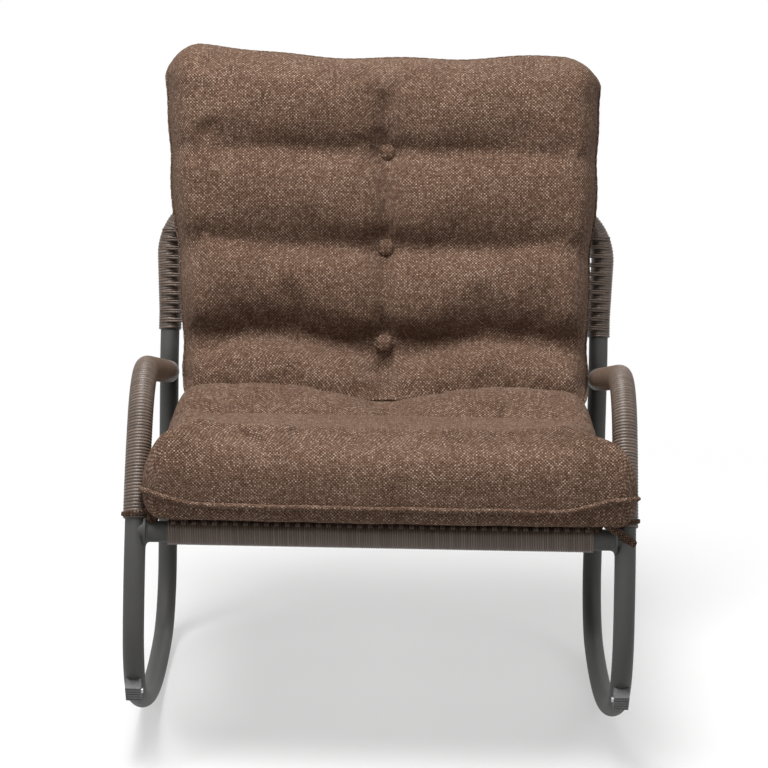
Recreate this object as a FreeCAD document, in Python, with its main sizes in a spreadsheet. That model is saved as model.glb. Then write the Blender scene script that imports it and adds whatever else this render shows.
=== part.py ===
import FreeCAD, Part
import math
import os
from FreeCAD import Placement, Rotation, Vector

# Outdoor rocking chair: bent tube side loops that rock on the floor, a low back loop, strand-wrapped tubes,
# a strand seat and back, and a folded, tufted pad.  Millimetres and degrees.  +Z is up, the sitter faces -Y,
# and the origin lies on the floor midway between the two points where the runners touch it.

doc = FreeCAD.newDocument("rocking_chair")
sheet = doc.addObject("Spreadsheet::Sheet", "dimensions")

DIMENSIONS = (
    ("tube_diameter", 28.0, "outside diameter of every frame tube"),
    ("side_wall", 2.0, "wall of the side tubes and the rails"),
    ("back_wall", 1.0, "wall of the back loop's tube"),
    ("half_track", 320.0, "from the middle of the chair to each side tube's axis"),
    ("clearance", 0.3, "gap left between neighbouring curved faces"),
    ("rocker_radius", 700.0, "radius of the runner's axis"),
    ("runner_front_angle", 26.6, "runner's arc ahead of the floor contact"),
    ("runner_rear_angle", 9.1, "runner's arc behind the floor contact"),
    ("foot_radius", 108.0, "bend from the runner up into the front leg"),
    ("leg_radius", 520.0, "long bend of the front leg"),
    ("leg_lean_low", 7.0, "front leg's backward lean above the foot bend"),
    ("leg_lean_high", 38.0, "front leg's backward lean below the arm bend"),
    ("arm_radius", 115.0, "bend from the front leg into the arm"),
    ("arm_drop", 14.0, "arm's slope down to the rear"),
    ("rear_radius", 110.0, "bend from the runner up into the rear leg"),
    ("rear_lean", 6.0, "rear leg's backward lean"),
    ("leg_above_arm", 20.0, "straight rear leg above the arm's joint"),
    ("kick_radius", 80.0, "bend from the rear leg into the back"),
    ("recline", 18.0, "back's angle from upright"),
    ("socket_length", 24.0, "straight end of the rear leg that takes the back loop"),
    ("loop_height", 200.0, "back loop's top bar above its lower ends, along the back"),
    ("loop_straight", 26.0, "straight length at each lower end of the back loop"),
    ("loop_wrap_start", 3.0, "bare length at each lower end of the back loop"),
    ("flare_radius", 200.0, "bend that starts the back loop's outward flare"),
    ("loop_flare", 3.0, "outward flare of each upright"),
    ("loop_corner", 82.0, "corner radius of the back loop"),
    ("wrap_thickness", 3.0, "strand wrapping on the tubes"),
    ("rail_height", 322.0, "front rail's axis above the floor"),
    ("rail_fillet", 6.0, "welded fillet where a rail meets a leg"),
    ("rail_bare", 42.0, "bare length at each end of a rail"),
    ("arm_wrap_rise", 9.0, "start of the arm's wrapping above the front rail's axis"),
    ("arm_wrap_end", 26.0, "end of the arm's wrapping ahead of the rear leg's axis"),
    ("seat_slope", 6.0, "seat's slope down to the rear"),
    ("strand", 3.0, "thickness of the seat's and the back's strands"),
    ("strand_pitch", 13.5, "spacing of the strands"),
    ("strand_gap", 9.0, "open gap between two strands"),
    ("spigot_setback", 2.0, "joining sleeve short of the straight lengths that hold it"),
    ("spigot_bore", 16.0, "hole through that sleeve"),
    ("bolt_diameter", 6.0, "back joint's bolt"),
    ("bolt_head", 11.0, "diameter of that bolt's head"),
    ("bolt_head_height", 3.2, "height of that bolt's head"),
    ("glide_width", 20.0, "foot glide across the runner"),
    ("glide_length", 26.0, "foot glide along the runner"),
    ("glide_depth", 14.0, "foot glide below the tube"),
    ("glide_saddle", 6.0, "foot glide's sides up beside the tube"),
    ("glide_turn", 30.0, "foot glide's place along the foot bend"),
    ("glide_rib", 1.2, "depth and width of the grooves in a glide's face"),
    ("screw_diameter", 4.0, "foot glide's screw"),
    ("screw_head", 7.0, "diameter of that screw's head"),
    ("screw_head_height", 2.2, "height of that screw's head"),
    ("screw_length", 9.0, "that screw's thread in the glide"),
    ("seat_thickness", 113.0, "seat pad's crown above the strands"),
    ("seat_room", 6.0, "gap between the seat pad and each arm's wrapping"),
    ("ear_reach", 4.0, "seat pad's front corners beyond the legs' axes"),
    ("seat_overhang", 44.0, "seat pad ahead of the front rail's axis"),
    ("seat_at_fold", 96.0, "seat pad's height where the back pad folds"),
    ("seat_tuft", 262.0, "seat pad's tuft line behind the front rail's axis"),
    ("back_thickness", 116.0, "back pad's crown over the strands"),
    ("back_length", 520.0, "back pad from the fold to its top edge"),
    ("back_inset", 14.0, "back pad above the arms, inside the tubes' outer faces"),
    ("waist_room", 7.0, "gap between the back pad and each arm's wrapping"),
    ("tuft_first", 82.0, "first row of buttons above the fold"),
    ("tuft_pitch", 141.0, "spacing of the rows of buttons"),
    ("tuft_flat", 14.0, "half width of the channel down the middle of the pads"),
    ("cover_thickness", 4.5, "quilted cover of the pads, round the loose filling"),
    ("slit_length", 220.0, "filling slit in the underside of each pad"),
    ("slit_width", 6.0, "width of that slit"),
    ("button_diameter", 24.0, "covered button"),
    ("button_height", 8.0, "covered button's dome"),
    ("seam_diameter", 5.0, "sewn fold between the pads, and the piping"),
    ("tie_thickness", 2.2, "fabric tape of the ties"),
    ("tie_width", 13.0, "width of that tape"),
    ("tie_rise", 24.0, "tie's band above the front rail's axis"),
    ("tie_tail", 34.0, "hanging end of each tie"),
)

for row, (alias, number, meaning) in enumerate(DIMENSIONS, start=1):
    sheet.set(f"A{row}", alias)
    sheet.set(f"B{row}", str(number))
    sheet.set(f"C{row}", meaning)
    sheet.setAlias(f"B{row}", alias)
doc.recompute()


def size(alias):
    """A driving dimension, as a number."""
    return float(sheet.get(alias))


def sin(degrees):
    return math.sin(math.radians(degrees))


def cos(degrees):
    return math.cos(math.radians(degrees))


def tan(degrees):
    return math.tan(math.radians(degrees))


AXIS_X = Vector(1, 0, 0)
AXIS_Y = Vector(0, 1, 0)
AXIS_Z = Vector(0, 0, 1)

tube_radius = size("tube_diameter") / 2
wrap_radius = tube_radius + size("wrap_thickness")
clearance = size("clearance")
half_track = size("half_track")
recline = size("recline")


class PlanePath:
    """Straight runs and tangent arcs in one plane.  Heading 0 runs along the plane's first axis."""

    def __init__(self, origin, first, second, heading):
        self.place = origin
        self.first = first
        self.second = second
        self.heading = heading
        self.start = origin
        self.start_direction = self.direction(heading)
        self.edges = []

    def direction(self, heading):
        return self.first * cos(heading) + self.second * sin(heading)

    def line(self, length):
        end = self.place + self.direction(self.heading) * length
        self.edges.append(Part.LineSegment(self.place, end).toShape())
        self.place = end
        return self

    def arc(self, radius, turn):
        side = math.copysign(90, turn)
        centre = self.place + self.direction(self.heading + side) * radius
        middle = centre + self.direction(self.heading + turn / 2 - side) * radius
        end = centre + self.direction(self.heading + turn - side) * radius
        self.edges.append(Part.Arc(self.place, middle, end).toShape())
        self.place = end
        self.heading += turn
        return self

    def wire(self):
        return Part.Wire(self.edges)


def rod_along(name, path, radius):
    """A round rod whose centre follows a path; radius is an expression on the sheet."""
    spine = doc.addObject("Part::Feature", name + "_path")
    spine.Shape = path.wire()
    ring = doc.addObject("Part::Circle", name + "_ring")
    ring.setExpression("Radius", radius)
    ring.Placement = Placement(path.start, Rotation(AXIS_Z, path.start_direction))
    rod = doc.addObject("Part::Sweep", name)
    rod.Sections = [ring]
    rod.Spine = (spine, [f"Edge{i + 1}" for i in range(len(path.edges))])
    rod.Solid = True
    rod.Frenet = False
    return rod


def cut(name, base, *tools):
    """The base with each tool taken away in turn."""
    for step, tool in enumerate(tools, start=1):
        result = doc.addObject("Part::Cut", name if step == len(tools) else f"{name}_step{step}")
        result.Base = base
        result.Tool = tool
        base = result
    return base


def tube_along(name, path, outer, inner):
    """A hollow tube along a path, from expressions for its outer and inner radius."""
    return cut(name, rod_along(name + "_outer", path, outer), rod_along(name + "_bore", path, inner))


def cylinder(name, radius, height, centre, axis):
    """A cylinder from expressions for its radius and height, from a point along an axis."""
    body = doc.addObject("Part::Cylinder", name)
    body.setExpression("Radius", radius)
    body.setExpression("Height", height)
    body.Placement = Placement(centre, Rotation(AXIS_Z, axis))
    return body


def mirrored(name, source):
    """The same piece on the other side of the chair."""
    other = doc.addObject("Part::Mirroring", name)
    other.Source = source
    other.Normal = AXIS_X
    other.Base = Vector(0, 0, 0)
    return other


TUBE_OUTER = "dimensions.tube_diameter / 2"
TUBE_KEEPOUT = "dimensions.tube_diameter / 2 + dimensions.clearance"
SIDE_BORE = "dimensions.tube_diameter / 2 - dimensions.side_wall"
BACK_BORE = "dimensions.tube_diameter / 2 - dimensions.back_wall"
WRAP_OUTER = "dimensions.tube_diameter / 2 + dimensions.wrap_thickness"
WRAP_INNER = "dimensions.tube_diameter / 2 + dimensions.clearance"

# Side loop, in the upright plane of the left side tubes.  The runner is one arc that touches the floor
# at y = 0, and is welded to the front leg where its arc ends at the foot.
rocker_radius = size("rocker_radius")
front_angle = size("runner_front_angle")
rear_angle = size("runner_rear_angle")
rear_lean = size("rear_lean")
lean_low = size("leg_lean_low")
lean_high = size("leg_lean_high")
leg_radius = size("leg_radius")
arm_drop = size("arm_drop")

foot_weld = Vector(
    -half_track,
    -rocker_radius * sin(front_angle),
    tube_radius + rocker_radius * (1 - cos(front_angle)),
)


def side_path(origin, heading):
    return PlanePath(origin, AXIS_Y, AXIS_Z, heading)


def front_leg_start():
    """The path from the foot weld up through the foot bend."""
    path = side_path(foot_weld, 180 - front_angle)
    return path.arc(size("foot_radius"), -(90 - front_angle + lean_low))


def rear_leg_start():
    """The path from the foot weld along the runner and up through the rear bend."""
    path = side_path(foot_weld, -front_angle)
    path.arc(rocker_radius, front_angle + rear_angle)
    return path.arc(size("rear_radius"), 90 - rear_lean - rear_angle)


leg_base = front_leg_start().place
rear_base = rear_leg_start().place
rear_direction = Vector(0, sin(rear_lean), cos(rear_lean))


def leg_point(lean):
    """A point on the front leg's long bend, where the leg leans back by the given angle."""
    back = leg_radius * (cos(lean_low) - cos(lean))
    up = leg_radius * (sin(lean) - sin(lean_low))
    return leg_base + Vector(0, back, up)


def lean_at(height):
    """The front leg's lean at a height within its long bend."""
    return math.degrees(math.asin(sin(lean_low) + (height - leg_base.z) / leg_radius))


def meet_rear_leg(start, slope):
    """Where a line that slopes down to the rear meets the rear leg: distance along it, and up the leg."""
    offset = rear_base - start
    ahead = Vector(0, cos(slope), -sin(slope))
    turn = ahead.y * rear_direction.z - ahead.z * rear_direction.y
    along = (offset.y * rear_direction.z - offset.z * rear_direction.y) / turn
    up = (offset.y * ahead.z - offset.z * ahead.y) / turn
    return along, up


def arm_start(path):
    """Carries a front leg's path round the arm bend."""
    return path.arc(size("arm_radius"), -(90 - lean_high + arm_drop))


arm_path = front_leg_start().arc(leg_radius, -(lean_high - lean_low))
arm_length, arm_joint_rise = meet_rear_leg(arm_start(arm_path).place, arm_drop)
arm_path.line(arm_length)

rocker_path = rear_leg_start()
rocker_path.line(arm_joint_rise + size("leg_above_arm"))
rocker_path.arc(size("kick_radius"), -(recline - rear_lean))
rocker_path.line(size("socket_length"))
socket_end = rocker_path.place

# Back frame: s runs up the reclined back from the lower ends of the back loop, n towards the sitter.
back_up = Vector(0, sin(recline), cos(recline))
back_front = Vector(0, -cos(recline), sin(recline))
back_origin = Vector(0, socket_end.y, socket_end.z)


def back_point(x, s, n):
    return back_origin + AXIS_X * x + back_up * s + back_front * n


back_turn = Rotation(AXIS_X, back_up, back_front, "ZXY")

# Seat frame: u runs to the rear from the front rail's axis along the sloping seat, n up from it.
seat_slope = size("seat_slope")
rail_lean = lean_at(size("rail_height"))
front_rail_left = leg_point(rail_lean)
seat_length, rear_rail_rise = meet_rear_leg(front_rail_left, seat_slope)
rear_rail_left = rear_base + rear_direction * rear_rail_rise
seat_back = Vector(0, cos(seat_slope), -sin(seat_slope))
seat_up = Vector(0, sin(seat_slope), cos(seat_slope))
seat_origin = Vector(0, front_rail_left.y, front_rail_left.z)


def seat_point(x, u, n):
    return seat_origin + AXIS_X * x + seat_back * u + seat_up * n


seat_turn = Rotation(AXIS_X, seat_back, seat_up, "ZXY")

pieces = {}


def keep(node, piece):
    """Names a finished piece after its node."""
    piece.Label = node
    pieces[node] = piece
    return piece


# Side tubes: the arm with the front leg, coped against the rear leg, and the runner with the rear leg.
arm_tube = tube_along("arm_tube", arm_path, TUBE_OUTER, SIDE_BORE)
rear_leg_keepout = cylinder(
    "rear_leg_keepout", TUBE_KEEPOUT, "4 * dimensions.tube_diameter",
    rear_base + rear_direction * (arm_joint_rise - 2 * size("tube_diameter")), rear_direction,
)
left_arm_leg_tube = keep("left_arm_leg_tube", cut("left_arm_leg", arm_tube, rear_leg_keepout))
keep("right_arm_leg_tube", mirrored("right_arm_leg", left_arm_leg_tube))

# Back joint: a sleeve inside the rear leg's socket and the back loop's end, held by a bolt from behind.
bolt_s = -size("socket_length") / 2


def bolt_cylinder(name, radius, height, n_start):
    """A cylinder on the left bolt's axis, which runs towards the sitter from a given n."""
    return cylinder(name, radius, height, back_point(-half_track, bolt_s, n_start), back_front)


rocker_tube = tube_along("rocker_tube", rocker_path, TUBE_OUTER, SIDE_BORE)
bolt_hole = bolt_cylinder(
    "bolt_hole", "dimensions.bolt_diameter / 2 + dimensions.clearance", "dimensions.tube_diameter / 2",
    -tube_radius - clearance,
)
left_rocker_tube = keep("left_rocker_tube", cut("left_rocker", rocker_tube, bolt_hole))
keep("right_rocker_tube", mirrored("right_rocker", left_rocker_tube))

SPIGOT_OUTER = "dimensions.tube_diameter / 2 - dimensions.side_wall - dimensions.clearance"
SPIGOT_LENGTH = "dimensions.socket_length + dimensions.loop_straight - 2 * dimensions.spigot_setback"
spigot_start = back_point(-half_track, size("spigot_setback") - size("socket_length"), 0)
spigot_body = cylinder("spigot_body", SPIGOT_OUTER, SPIGOT_LENGTH, spigot_start, back_up)
spigot_bore = cylinder("spigot_bore_cut", "dimensions.spigot_bore / 2", SPIGOT_LENGTH, spigot_start, back_up)
left_spigot = keep("left_back_spigot", cut("left_spigot", spigot_body, spigot_bore, bolt_hole))
keep("right_back_spigot", mirrored("right_spigot", left_spigot))

bolt_head = bolt_cylinder(
    "bolt_head_body", "dimensions.bolt_head / 2", "dimensions.bolt_head_height",
    -tube_radius - clearance - size("bolt_head_height"),
)
bolt_shank = bolt_cylinder(
    "bolt_shank", "dimensions.bolt_diameter / 2",
    "dimensions.tube_diameter / 2 + dimensions.clearance - dimensions.spigot_bore / 2",
    -tube_radius - clearance,
)


def joined(name, base, tool):
    """Two solids made one."""
    both = doc.addObject("Part::Fuse", name)
    both.Base = base
    both.Tool = tool
    return both


def pair(node, left):
    """A piece and its mirror image in one node."""
    both = doc.addObject("Part::Compound", node + "_pair")
    both.Links = [left, mirrored(node + "_right", left)]
    return keep(node, both)


pair("back_joint_bolts", joined("left_bolt", bolt_head, bolt_shank))

# Back loop: one planar tube with flared uprights and round corners.
loop_flare = size("loop_flare")
loop_corner = size("loop_corner")
loop_straight = size("loop_straight")


def loop_path(trim):
    """The back loop's axis, starting and ending a trim above its lower ends."""
    path = PlanePath(back_point(-half_track, trim, 0), AXIS_X, back_up, 90)
    path.line(loop_straight - trim)
    path.arc(size("flare_radius"), loop_flare)
    flare_rise = loop_straight + size("flare_radius") * sin(loop_flare)
    corner_rise = loop_corner * (1 + sin(loop_flare))
    upright = (size("loop_height") - flare_rise - corner_rise) / cos(loop_flare)
    path.line(upright)
    path.arc(loop_corner, -(90 + loop_flare))
    path.line(-2 * path.place.x)
    path.arc(loop_corner, -(90 + loop_flare))
    path.line(upright)
    path.arc(size("flare_radius"), loop_flare)
    return path.line(loop_straight - trim)


keep("back_loop_tube", tube_along("back_loop", loop_path(0), TUBE_OUTER, BACK_BORE))
keep("back_loop_wrap", tube_along("loop_wrap", loop_path(size("loop_wrap_start")), WRAP_OUTER, WRAP_INNER))

# Arm wrapping: from just above the front rail, round the arm bend, to a bare end before the rear leg.
wrap_lean = lean_at(size("rail_height") + size("arm_wrap_rise"))
wrap_path = side_path(leg_point(wrap_lean), 90 - wrap_lean)
arm_start(wrap_path.arc(leg_radius, -(lean_high - wrap_lean)))
wrap_path.line(arm_length - size("arm_wrap_end"))
RAIL_KEEPOUT = "dimensions.tube_diameter / 2 + dimensions.rail_fillet + dimensions.clearance"
rail_keepout = cylinder(
    "front_rail_keepout", RAIL_KEEPOUT, "2 * dimensions.tube_diameter", front_rail_left, AXIS_X,
)
arm_wrap = tube_along("arm_wrap", wrap_path, WRAP_OUTER, WRAP_INNER)
left_arm_wrap = keep("left_arm_wrap", cut("left_arm_wrap_cut", arm_wrap, rail_keepout))
keep("right_arm_wrap", mirrored("right_arm_wrap_cut", left_arm_wrap))

# Rails: tubes between the legs whose ends flare into the welded fillet, coped to the legs they meet.
rail_fillet = size("rail_fillet")
rail_bore = tube_radius - size("side_wall")


def section_face(corners, arcs):
    """A flat face through corners in order; arcs gives the middle point of each side that is an arc."""
    edges = []
    for index, (start, end) in enumerate(zip(corners, corners[1:] + corners[:1])):
        if index in arcs:
            edges.append(Part.Arc(start, arcs[index], end).toShape())
        else:
            edges.append(Part.LineSegment(start, end).toShape())
    return Part.Face(Part.Wire(edges))


def turned(name, face, axis, place):
    """A solid of revolution about an axis through its own origin."""
    section = doc.addObject("Part::Feature", name + "_section")
    section.Shape = face
    solid = doc.addObject("Part::Revolution", name)
    solid.Source = section
    solid.Axis = axis
    solid.Base = Vector(0, 0, 0)
    solid.Angle = 360
    solid.Solid = True
    solid.Placement = place
    return solid


def rail_section():
    """Half section of a rail: a plain tube whose ends flare along a hollow arc into the fillet."""
    end = half_track - tube_radius
    root = end - rail_fillet
    deep = end + rail_fillet / 2
    foot = tube_radius + rail_fillet
    bend = rail_fillet * (1 - cos(45))
    right = [
        Vector(root, 0, tube_radius), Vector(end, 0, foot), Vector(deep, 0, foot),
        Vector(deep, 0, tube_radius), Vector(half_track, 0, tube_radius), Vector(half_track, 0, rail_bore),
    ]
    left = [Vector(-corner.x, 0, corner.z) for corner in reversed(right)]
    arcs = {
        0: Vector(end - bend, 0, tube_radius + bend),
        len(right) + len(left) - 2: Vector(-end + bend, 0, tube_radius + bend),
    }
    return section_face(right + left, arcs)


def rail_between(name, axis_left, left_leg):
    """A rail turned about its axis and cut clear of the legs at both ends."""
    place = Placement(Vector(0, axis_left.y, axis_left.z), Rotation())
    blank = turned(name + "_turned", rail_section(), AXIS_X, place)
    return cut(name + "_coped", blank, left_leg, mirrored(name + "_right_leg", left_leg))


front_leg_keepout = rod_along("front_leg_keepout", arm_path, TUBE_KEEPOUT)
rear_rail_keepout = cylinder(
    "rear_rail_keepout", TUBE_KEEPOUT, "4 * dimensions.tube_diameter",
    rear_rail_left - rear_direction * 2 * size("tube_diameter"), rear_direction,
)
keep("front_rail", rail_between("front", front_rail_left, front_leg_keepout))
keep("rear_rail", rail_between("rear", rear_rail_left, rear_rail_keepout))


def rail_wrap(node, axis_left):
    """A straight sleeve of wrapping on the middle of a rail."""
    start = Vector(size("rail_bare") - half_track, axis_left.y, axis_left.z)
    length = "2 * (dimensions.half_track - dimensions.rail_bare)"
    outer = cylinder(node + "_outer", WRAP_OUTER, length, start, AXIS_X)
    inner = cylinder(node + "_inner", WRAP_INNER, length, start, AXIS_X)
    return keep(node, cut(node + "_sleeve", outer, inner))


rail_wrap("front_rail_wrap", front_rail_left)
rail_wrap("rear_rail_wrap", rear_rail_left)

# Strand seat and back: open nets whose strands lie on the wrapped tubes, each one holed sheet.
strand = size("strand")
strand_lift = wrap_radius + clearance
pad_lift = strand_lift + strand + clearance
CROSS_STRANDS = 4


def net(node, across, along, place):
    """A sheet of strands that run along y, tied by a few cross strands, in its own frame from (0, 0)."""
    pitch = size("strand_pitch")
    gap = size("strand_gap")
    columns = int((across - 2 * strand) // pitch)
    margin = (across - (columns - 1) * pitch - gap) / 2
    row_length = (along - strand) / CROSS_STRANDS - strand
    outlines = [Part.makePlane(across, along).OuterWire]
    for column in range(columns):
        for row in range(CROSS_STRANDS):
            corner = Vector(margin + column * pitch, strand + row * (row_length + strand), 0)
            outlines.append(Part.makePlane(gap, row_length, corner).OuterWire)
    holed = doc.addObject("Part::Feature", node + "_face")
    holed.Shape = Part.Face(outlines, "Part::FaceMakerBullseye")
    strands = doc.addObject("Part::Extrusion", node + "_net")
    strands.Base = holed
    strands.DirMode = "Custom"
    strands.Dir = AXIS_Z
    strands.setExpression("LengthFwd", "dimensions.strand")
    strands.Solid = True
    strands.Placement = place
    return keep(node, strands)


deck_width = 2 * (half_track - size("rail_bare"))
net(
    "seat_strands", deck_width, seat_length,
    Placement(seat_point(-deck_width / 2, 0, strand_lift), seat_turn),
)

back_net_top = size("loop_height") - loop_corner / 2
back_net_height = back_net_top - 2 * size("loop_wrap_start")
back_net_turn = Rotation(-back_up, AXIS_X, back_front, "ZXY")
net(
    "back_strands", back_net_height, 2 * half_track,
    Placement(back_point(-half_track, back_net_top, strand_lift), back_net_turn),
)

# Foot glides: grooved blocks saddled under the foot bend, each held by a screw from the inner side.
GROOVES = 5
glide_width = size("glide_width")
glide_length = size("glide_length")
glide_depth = size("glide_depth")
glide_path = side_path(foot_weld, 180 - front_angle).arc(size("foot_radius"), -size("glide_turn"))
glide_along = glide_path.direction(glide_path.heading)
glide_out = glide_path.direction(glide_path.heading + 90)
glide_turned = Rotation(AXIS_X, glide_along, glide_out, "ZXY")


def glide_point(x, along, out):
    """A point of the left glide: across the runner, along it, and out from its axis."""
    return glide_path.place + AXIS_X * x + glide_along * along + glide_out * out


def glide_box(name, width, length, height, corner):
    """A box in the glide's frame, from expressions for its sizes."""
    box = doc.addObject("Part::Box", name)
    box.setExpression("Width", length)
    box.setExpression("Length", width)
    box.setExpression("Height", height)
    box.Placement = Placement(corner, glide_turned)
    return box


block = glide_box(
    "glide_block", "dimensions.glide_width", "dimensions.glide_length",
    "dimensions.glide_depth + dimensions.glide_saddle",
    glide_point(-glide_width / 2, -glide_length / 2, tube_radius - size("glide_saddle")),
)
groove_corner_out = tube_radius + glide_depth - size("glide_rib")
grooves = []
for number in range(GROOVES):
    middle = glide_length * ((number + 0.5) / GROOVES - 0.5)
    corner = glide_point(-glide_width / 2, middle - size("glide_rib") / 2, groove_corner_out)
    grooves.append(glide_box(
        f"glide_groove_{number}", "dimensions.glide_width",
        "dimensions.glide_rib", "dimensions.glide_rib", corner,
    ))

screw_face = glide_point(glide_width / 2, 0, tube_radius + glide_depth / 2)
screw_hole = cylinder(
    "screw_hole", "dimensions.screw_diameter / 2 + dimensions.clearance",
    "dimensions.screw_length + dimensions.clearance", screw_face, -AXIS_X,
)
left_glide = keep("left_glide", cut("left_glide_cut", block, front_leg_keepout, screw_hole, *grooves))
keep("right_glide", mirrored("right_glide_cut", left_glide))

screw_seat = screw_face + AXIS_X * clearance
screw_shank = cylinder(
    "screw_shank", "dimensions.screw_diameter / 2", "dimensions.screw_length", screw_seat, -AXIS_X,
)
screw_head = cylinder(
    "screw_head_body", "dimensions.screw_head / 2", "dimensions.screw_head_height", screw_seat, AXIS_X,
)
pair("glide_screws", joined("left_screw", screw_head, screw_shank))

# Pad: the fold is where the back pad's front edge stands on the seat pad.  Both are hollow quilted covers.
seat_thickness = size("seat_thickness")
back_thickness = size("back_thickness")
cover = size("cover_thickness")
seam_radius = size("seam_diameter") / 2
seam_room = seam_radius + clearance
FOLD_CROWN = 0.8
fold_n = pad_lift + FOLD_CROWN * back_thickness
fold_height = pad_lift + size("seat_at_fold") + seam_room
fold_gap = back_origin + back_front * fold_n - seat_origin
fold_s = (fold_height - fold_gap.dot(seat_up)) / back_up.dot(seat_up)
fold_axis = back_point(0, fold_s, fold_n)
fold_u = (fold_axis - seat_origin).dot(seat_back)


def pad_section(y, half_width, crown, channel, spread, inset):
    """A pad's outline at y: flat base, round sides, and two full lobes that roll into a sunk channel."""
    top = crown - inset
    waist = half_width - inset
    seam = 0.36 * crown
    foot = half_width - 0.2 * crown - inset
    shoulder = half_width - 0.55 * crown
    flat = size("tuft_flat")
    valley = spread * flat
    floor = top - channel
    half_side = [
        Vector(foot, y, inset), Vector(waist, y, seam), Vector(shoulder, y, top),
        Vector(valley, y, top), Vector(flat, y, floor),
    ]
    low = Vector(foot + sin(45) * (waist - foot), y, inset + (1 - sin(45)) * (seam - inset))
    high = Vector(shoulder + sin(45) * (waist - shoulder), y, seam + sin(45) * (top - seam))
    roll = Vector((flat + valley) / 2, y, floor + 0.72 * channel)
    other_side = [Vector(-point.x, y, point.z) for point in reversed(half_side)]
    arcs = {0: low, 1: high, 3: roll}
    arcs.update({8 - edge: Vector(-point.x, y, point.z) for edge, point in arcs.items()})
    return section_face(half_side + other_side, arcs).OuterWire


def pad_solid(name, stations, spread, inset):
    """A loft through a pad's outlines; an inset gives the hollow inside its cover."""
    outlines = []
    for number, (y, half_width, crown, channel) in enumerate(stations):
        shift = 2 * inset if number == 0 else -2 * inset if number == len(stations) - 1 else 0
        outline = doc.addObject("Part::Feature", f"{name}_outline_{number}")
        outline.Shape = pad_section(y + shift, half_width, crown, channel, spread, inset)
        outlines.append(outline)
    loft = doc.addObject("Part::Loft", name)
    loft.Sections = outlines
    loft.Solid = True
    loft.Ruled = False
    loft.MaxDegree = 3
    return loft


def pad(node, stations, spread, place, tufts, floor):
    """A hollow pad with a filling slit across its base and a flat seat under each button.

    The channel's rolls start at spread times the channel's half width.
    """
    slit = doc.addObject("Part::Box", node + "_slit")
    slit.setExpression("Length", "dimensions.slit_length")
    slit.setExpression("Width", "dimensions.slit_width")
    slit.setExpression("Height", "3 * dimensions.cover_thickness")
    slit_y = (stations[0][0] + stations[-1][0]) / 2
    slit.Placement = Placement(Vector(-size("slit_length") / 2, slit_y, -cover), Rotation())
    outer = pad_solid(node + "_outer", stations, spread, 0)
    hollow = pad_solid(node + "_hollow", stations, spread, cover)
    seats = []
    for number, tuft in enumerate(tufts):
        seats.append(cylinder(
            f"{node}_button_seat_{number}", "dimensions.button_diameter / 2 + dimensions.clearance",
            "3 * dimensions.button_height", Vector(0, tuft, floor - clearance), AXIS_Z,
        ))
    shell = cut(node + "_cover", outer, hollow, slit, *seats)
    shell.Placement = place
    return keep(node, shell)


seat_half = half_track - wrap_radius - size("seat_room")
ear_half = half_track + size("ear_reach")
seat_front = -size("seat_overhang")
seat_tuft = size("seat_tuft")
SEAT_TUFT_CROWN = 0.84
SEAT_CHANNEL = 0.22
SEAT_BUTTON_LIFT = 1.3
back_foot = FOLD_CROWN * back_thickness
rear_fall = back_foot * tan(recline - seat_slope)
at_fold = size("seat_at_fold")
seat_stations = (
    (seat_front, ear_half - 12, 0.36 * seat_thickness, 0.02 * seat_thickness),
    (seat_front + 13, ear_half, 0.7 * seat_thickness, 0.02 * seat_thickness),
    (seat_front + 29, ear_half - 10, 0.85 * seat_thickness, 0.03 * seat_thickness),
    (seat_front + 48, seat_half, 0.94 * seat_thickness, 0.04 * seat_thickness),
    (seat_front + 100, seat_half, 0.99 * seat_thickness, 0.06 * seat_thickness),
    (0.6 * seat_tuft, seat_half, seat_thickness, 0.08 * seat_thickness),
    (seat_tuft, seat_half - 4, SEAT_TUFT_CROWN * seat_thickness, SEAT_CHANNEL * seat_thickness),
    ((seat_tuft + fold_u) / 2, seat_half, 0.98 * seat_thickness, 0.16 * seat_thickness),
    (fold_u - 30, seat_half, 0.93 * seat_thickness, 0.17 * seat_thickness),
    (fold_u, seat_half - 2, at_fold, 0.14 * seat_thickness),
    (fold_u + 0.5 * back_foot, seat_half - 4, at_fold - 0.62 * rear_fall, 0.1 * seat_thickness),
    (fold_u + back_foot, seat_half - 8, at_fold - 1.2 * rear_fall, 0.08 * seat_thickness),
    (fold_u + back_foot + 14, seat_half - 20, 0.4 * seat_thickness, 0.03 * seat_thickness),
)
seat_button_floor = (SEAT_TUFT_CROWN - SEAT_CHANNEL) * seat_thickness + SEAT_BUTTON_LIFT
seat_place = Placement(seat_point(0, 0, pad_lift), seat_turn)
pad("seat_pad", seat_stations, 7, seat_place, [seat_tuft], seat_button_floor)

waist_half = half_track - wrap_radius - size("waist_room")
wide_half = half_track + tube_radius - size("back_inset")
back_length = size("back_length")
tuft_first = size("tuft_first")
tuft_pitch = size("tuft_pitch")
TUFT_CROWNS = (0.78, 0.82, 0.88)
TUFT_FLOOR = 0.54
BACK_BUTTON_LIFT = 3.6
rows = [tuft_first + tuft_pitch * number for number in range(len(TUFT_CROWNS))]
middle_half = (waist_half + wide_half) / 2
row_half = (waist_half - 3, middle_half - 6, wide_half - 11)
swell_half = (waist_half, middle_half)
back_stations = [
    (0, waist_half - 6, FOLD_CROWN * back_thickness, 0.14 * back_thickness),
    (0.4 * tuft_first, waist_half, 0.94 * back_thickness, 0.22 * back_thickness),
]
for number, (row_place, crown) in enumerate(zip(rows, TUFT_CROWNS)):
    back_stations.append(
        (row_place, row_half[number], crown * back_thickness, (crown - TUFT_FLOOR) * back_thickness)
    )
    if row_place != rows[-1]:
        swell = row_place + tuft_pitch / 2
        back_stations.append((swell, swell_half[number], back_thickness, 0.14 * back_thickness))
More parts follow.
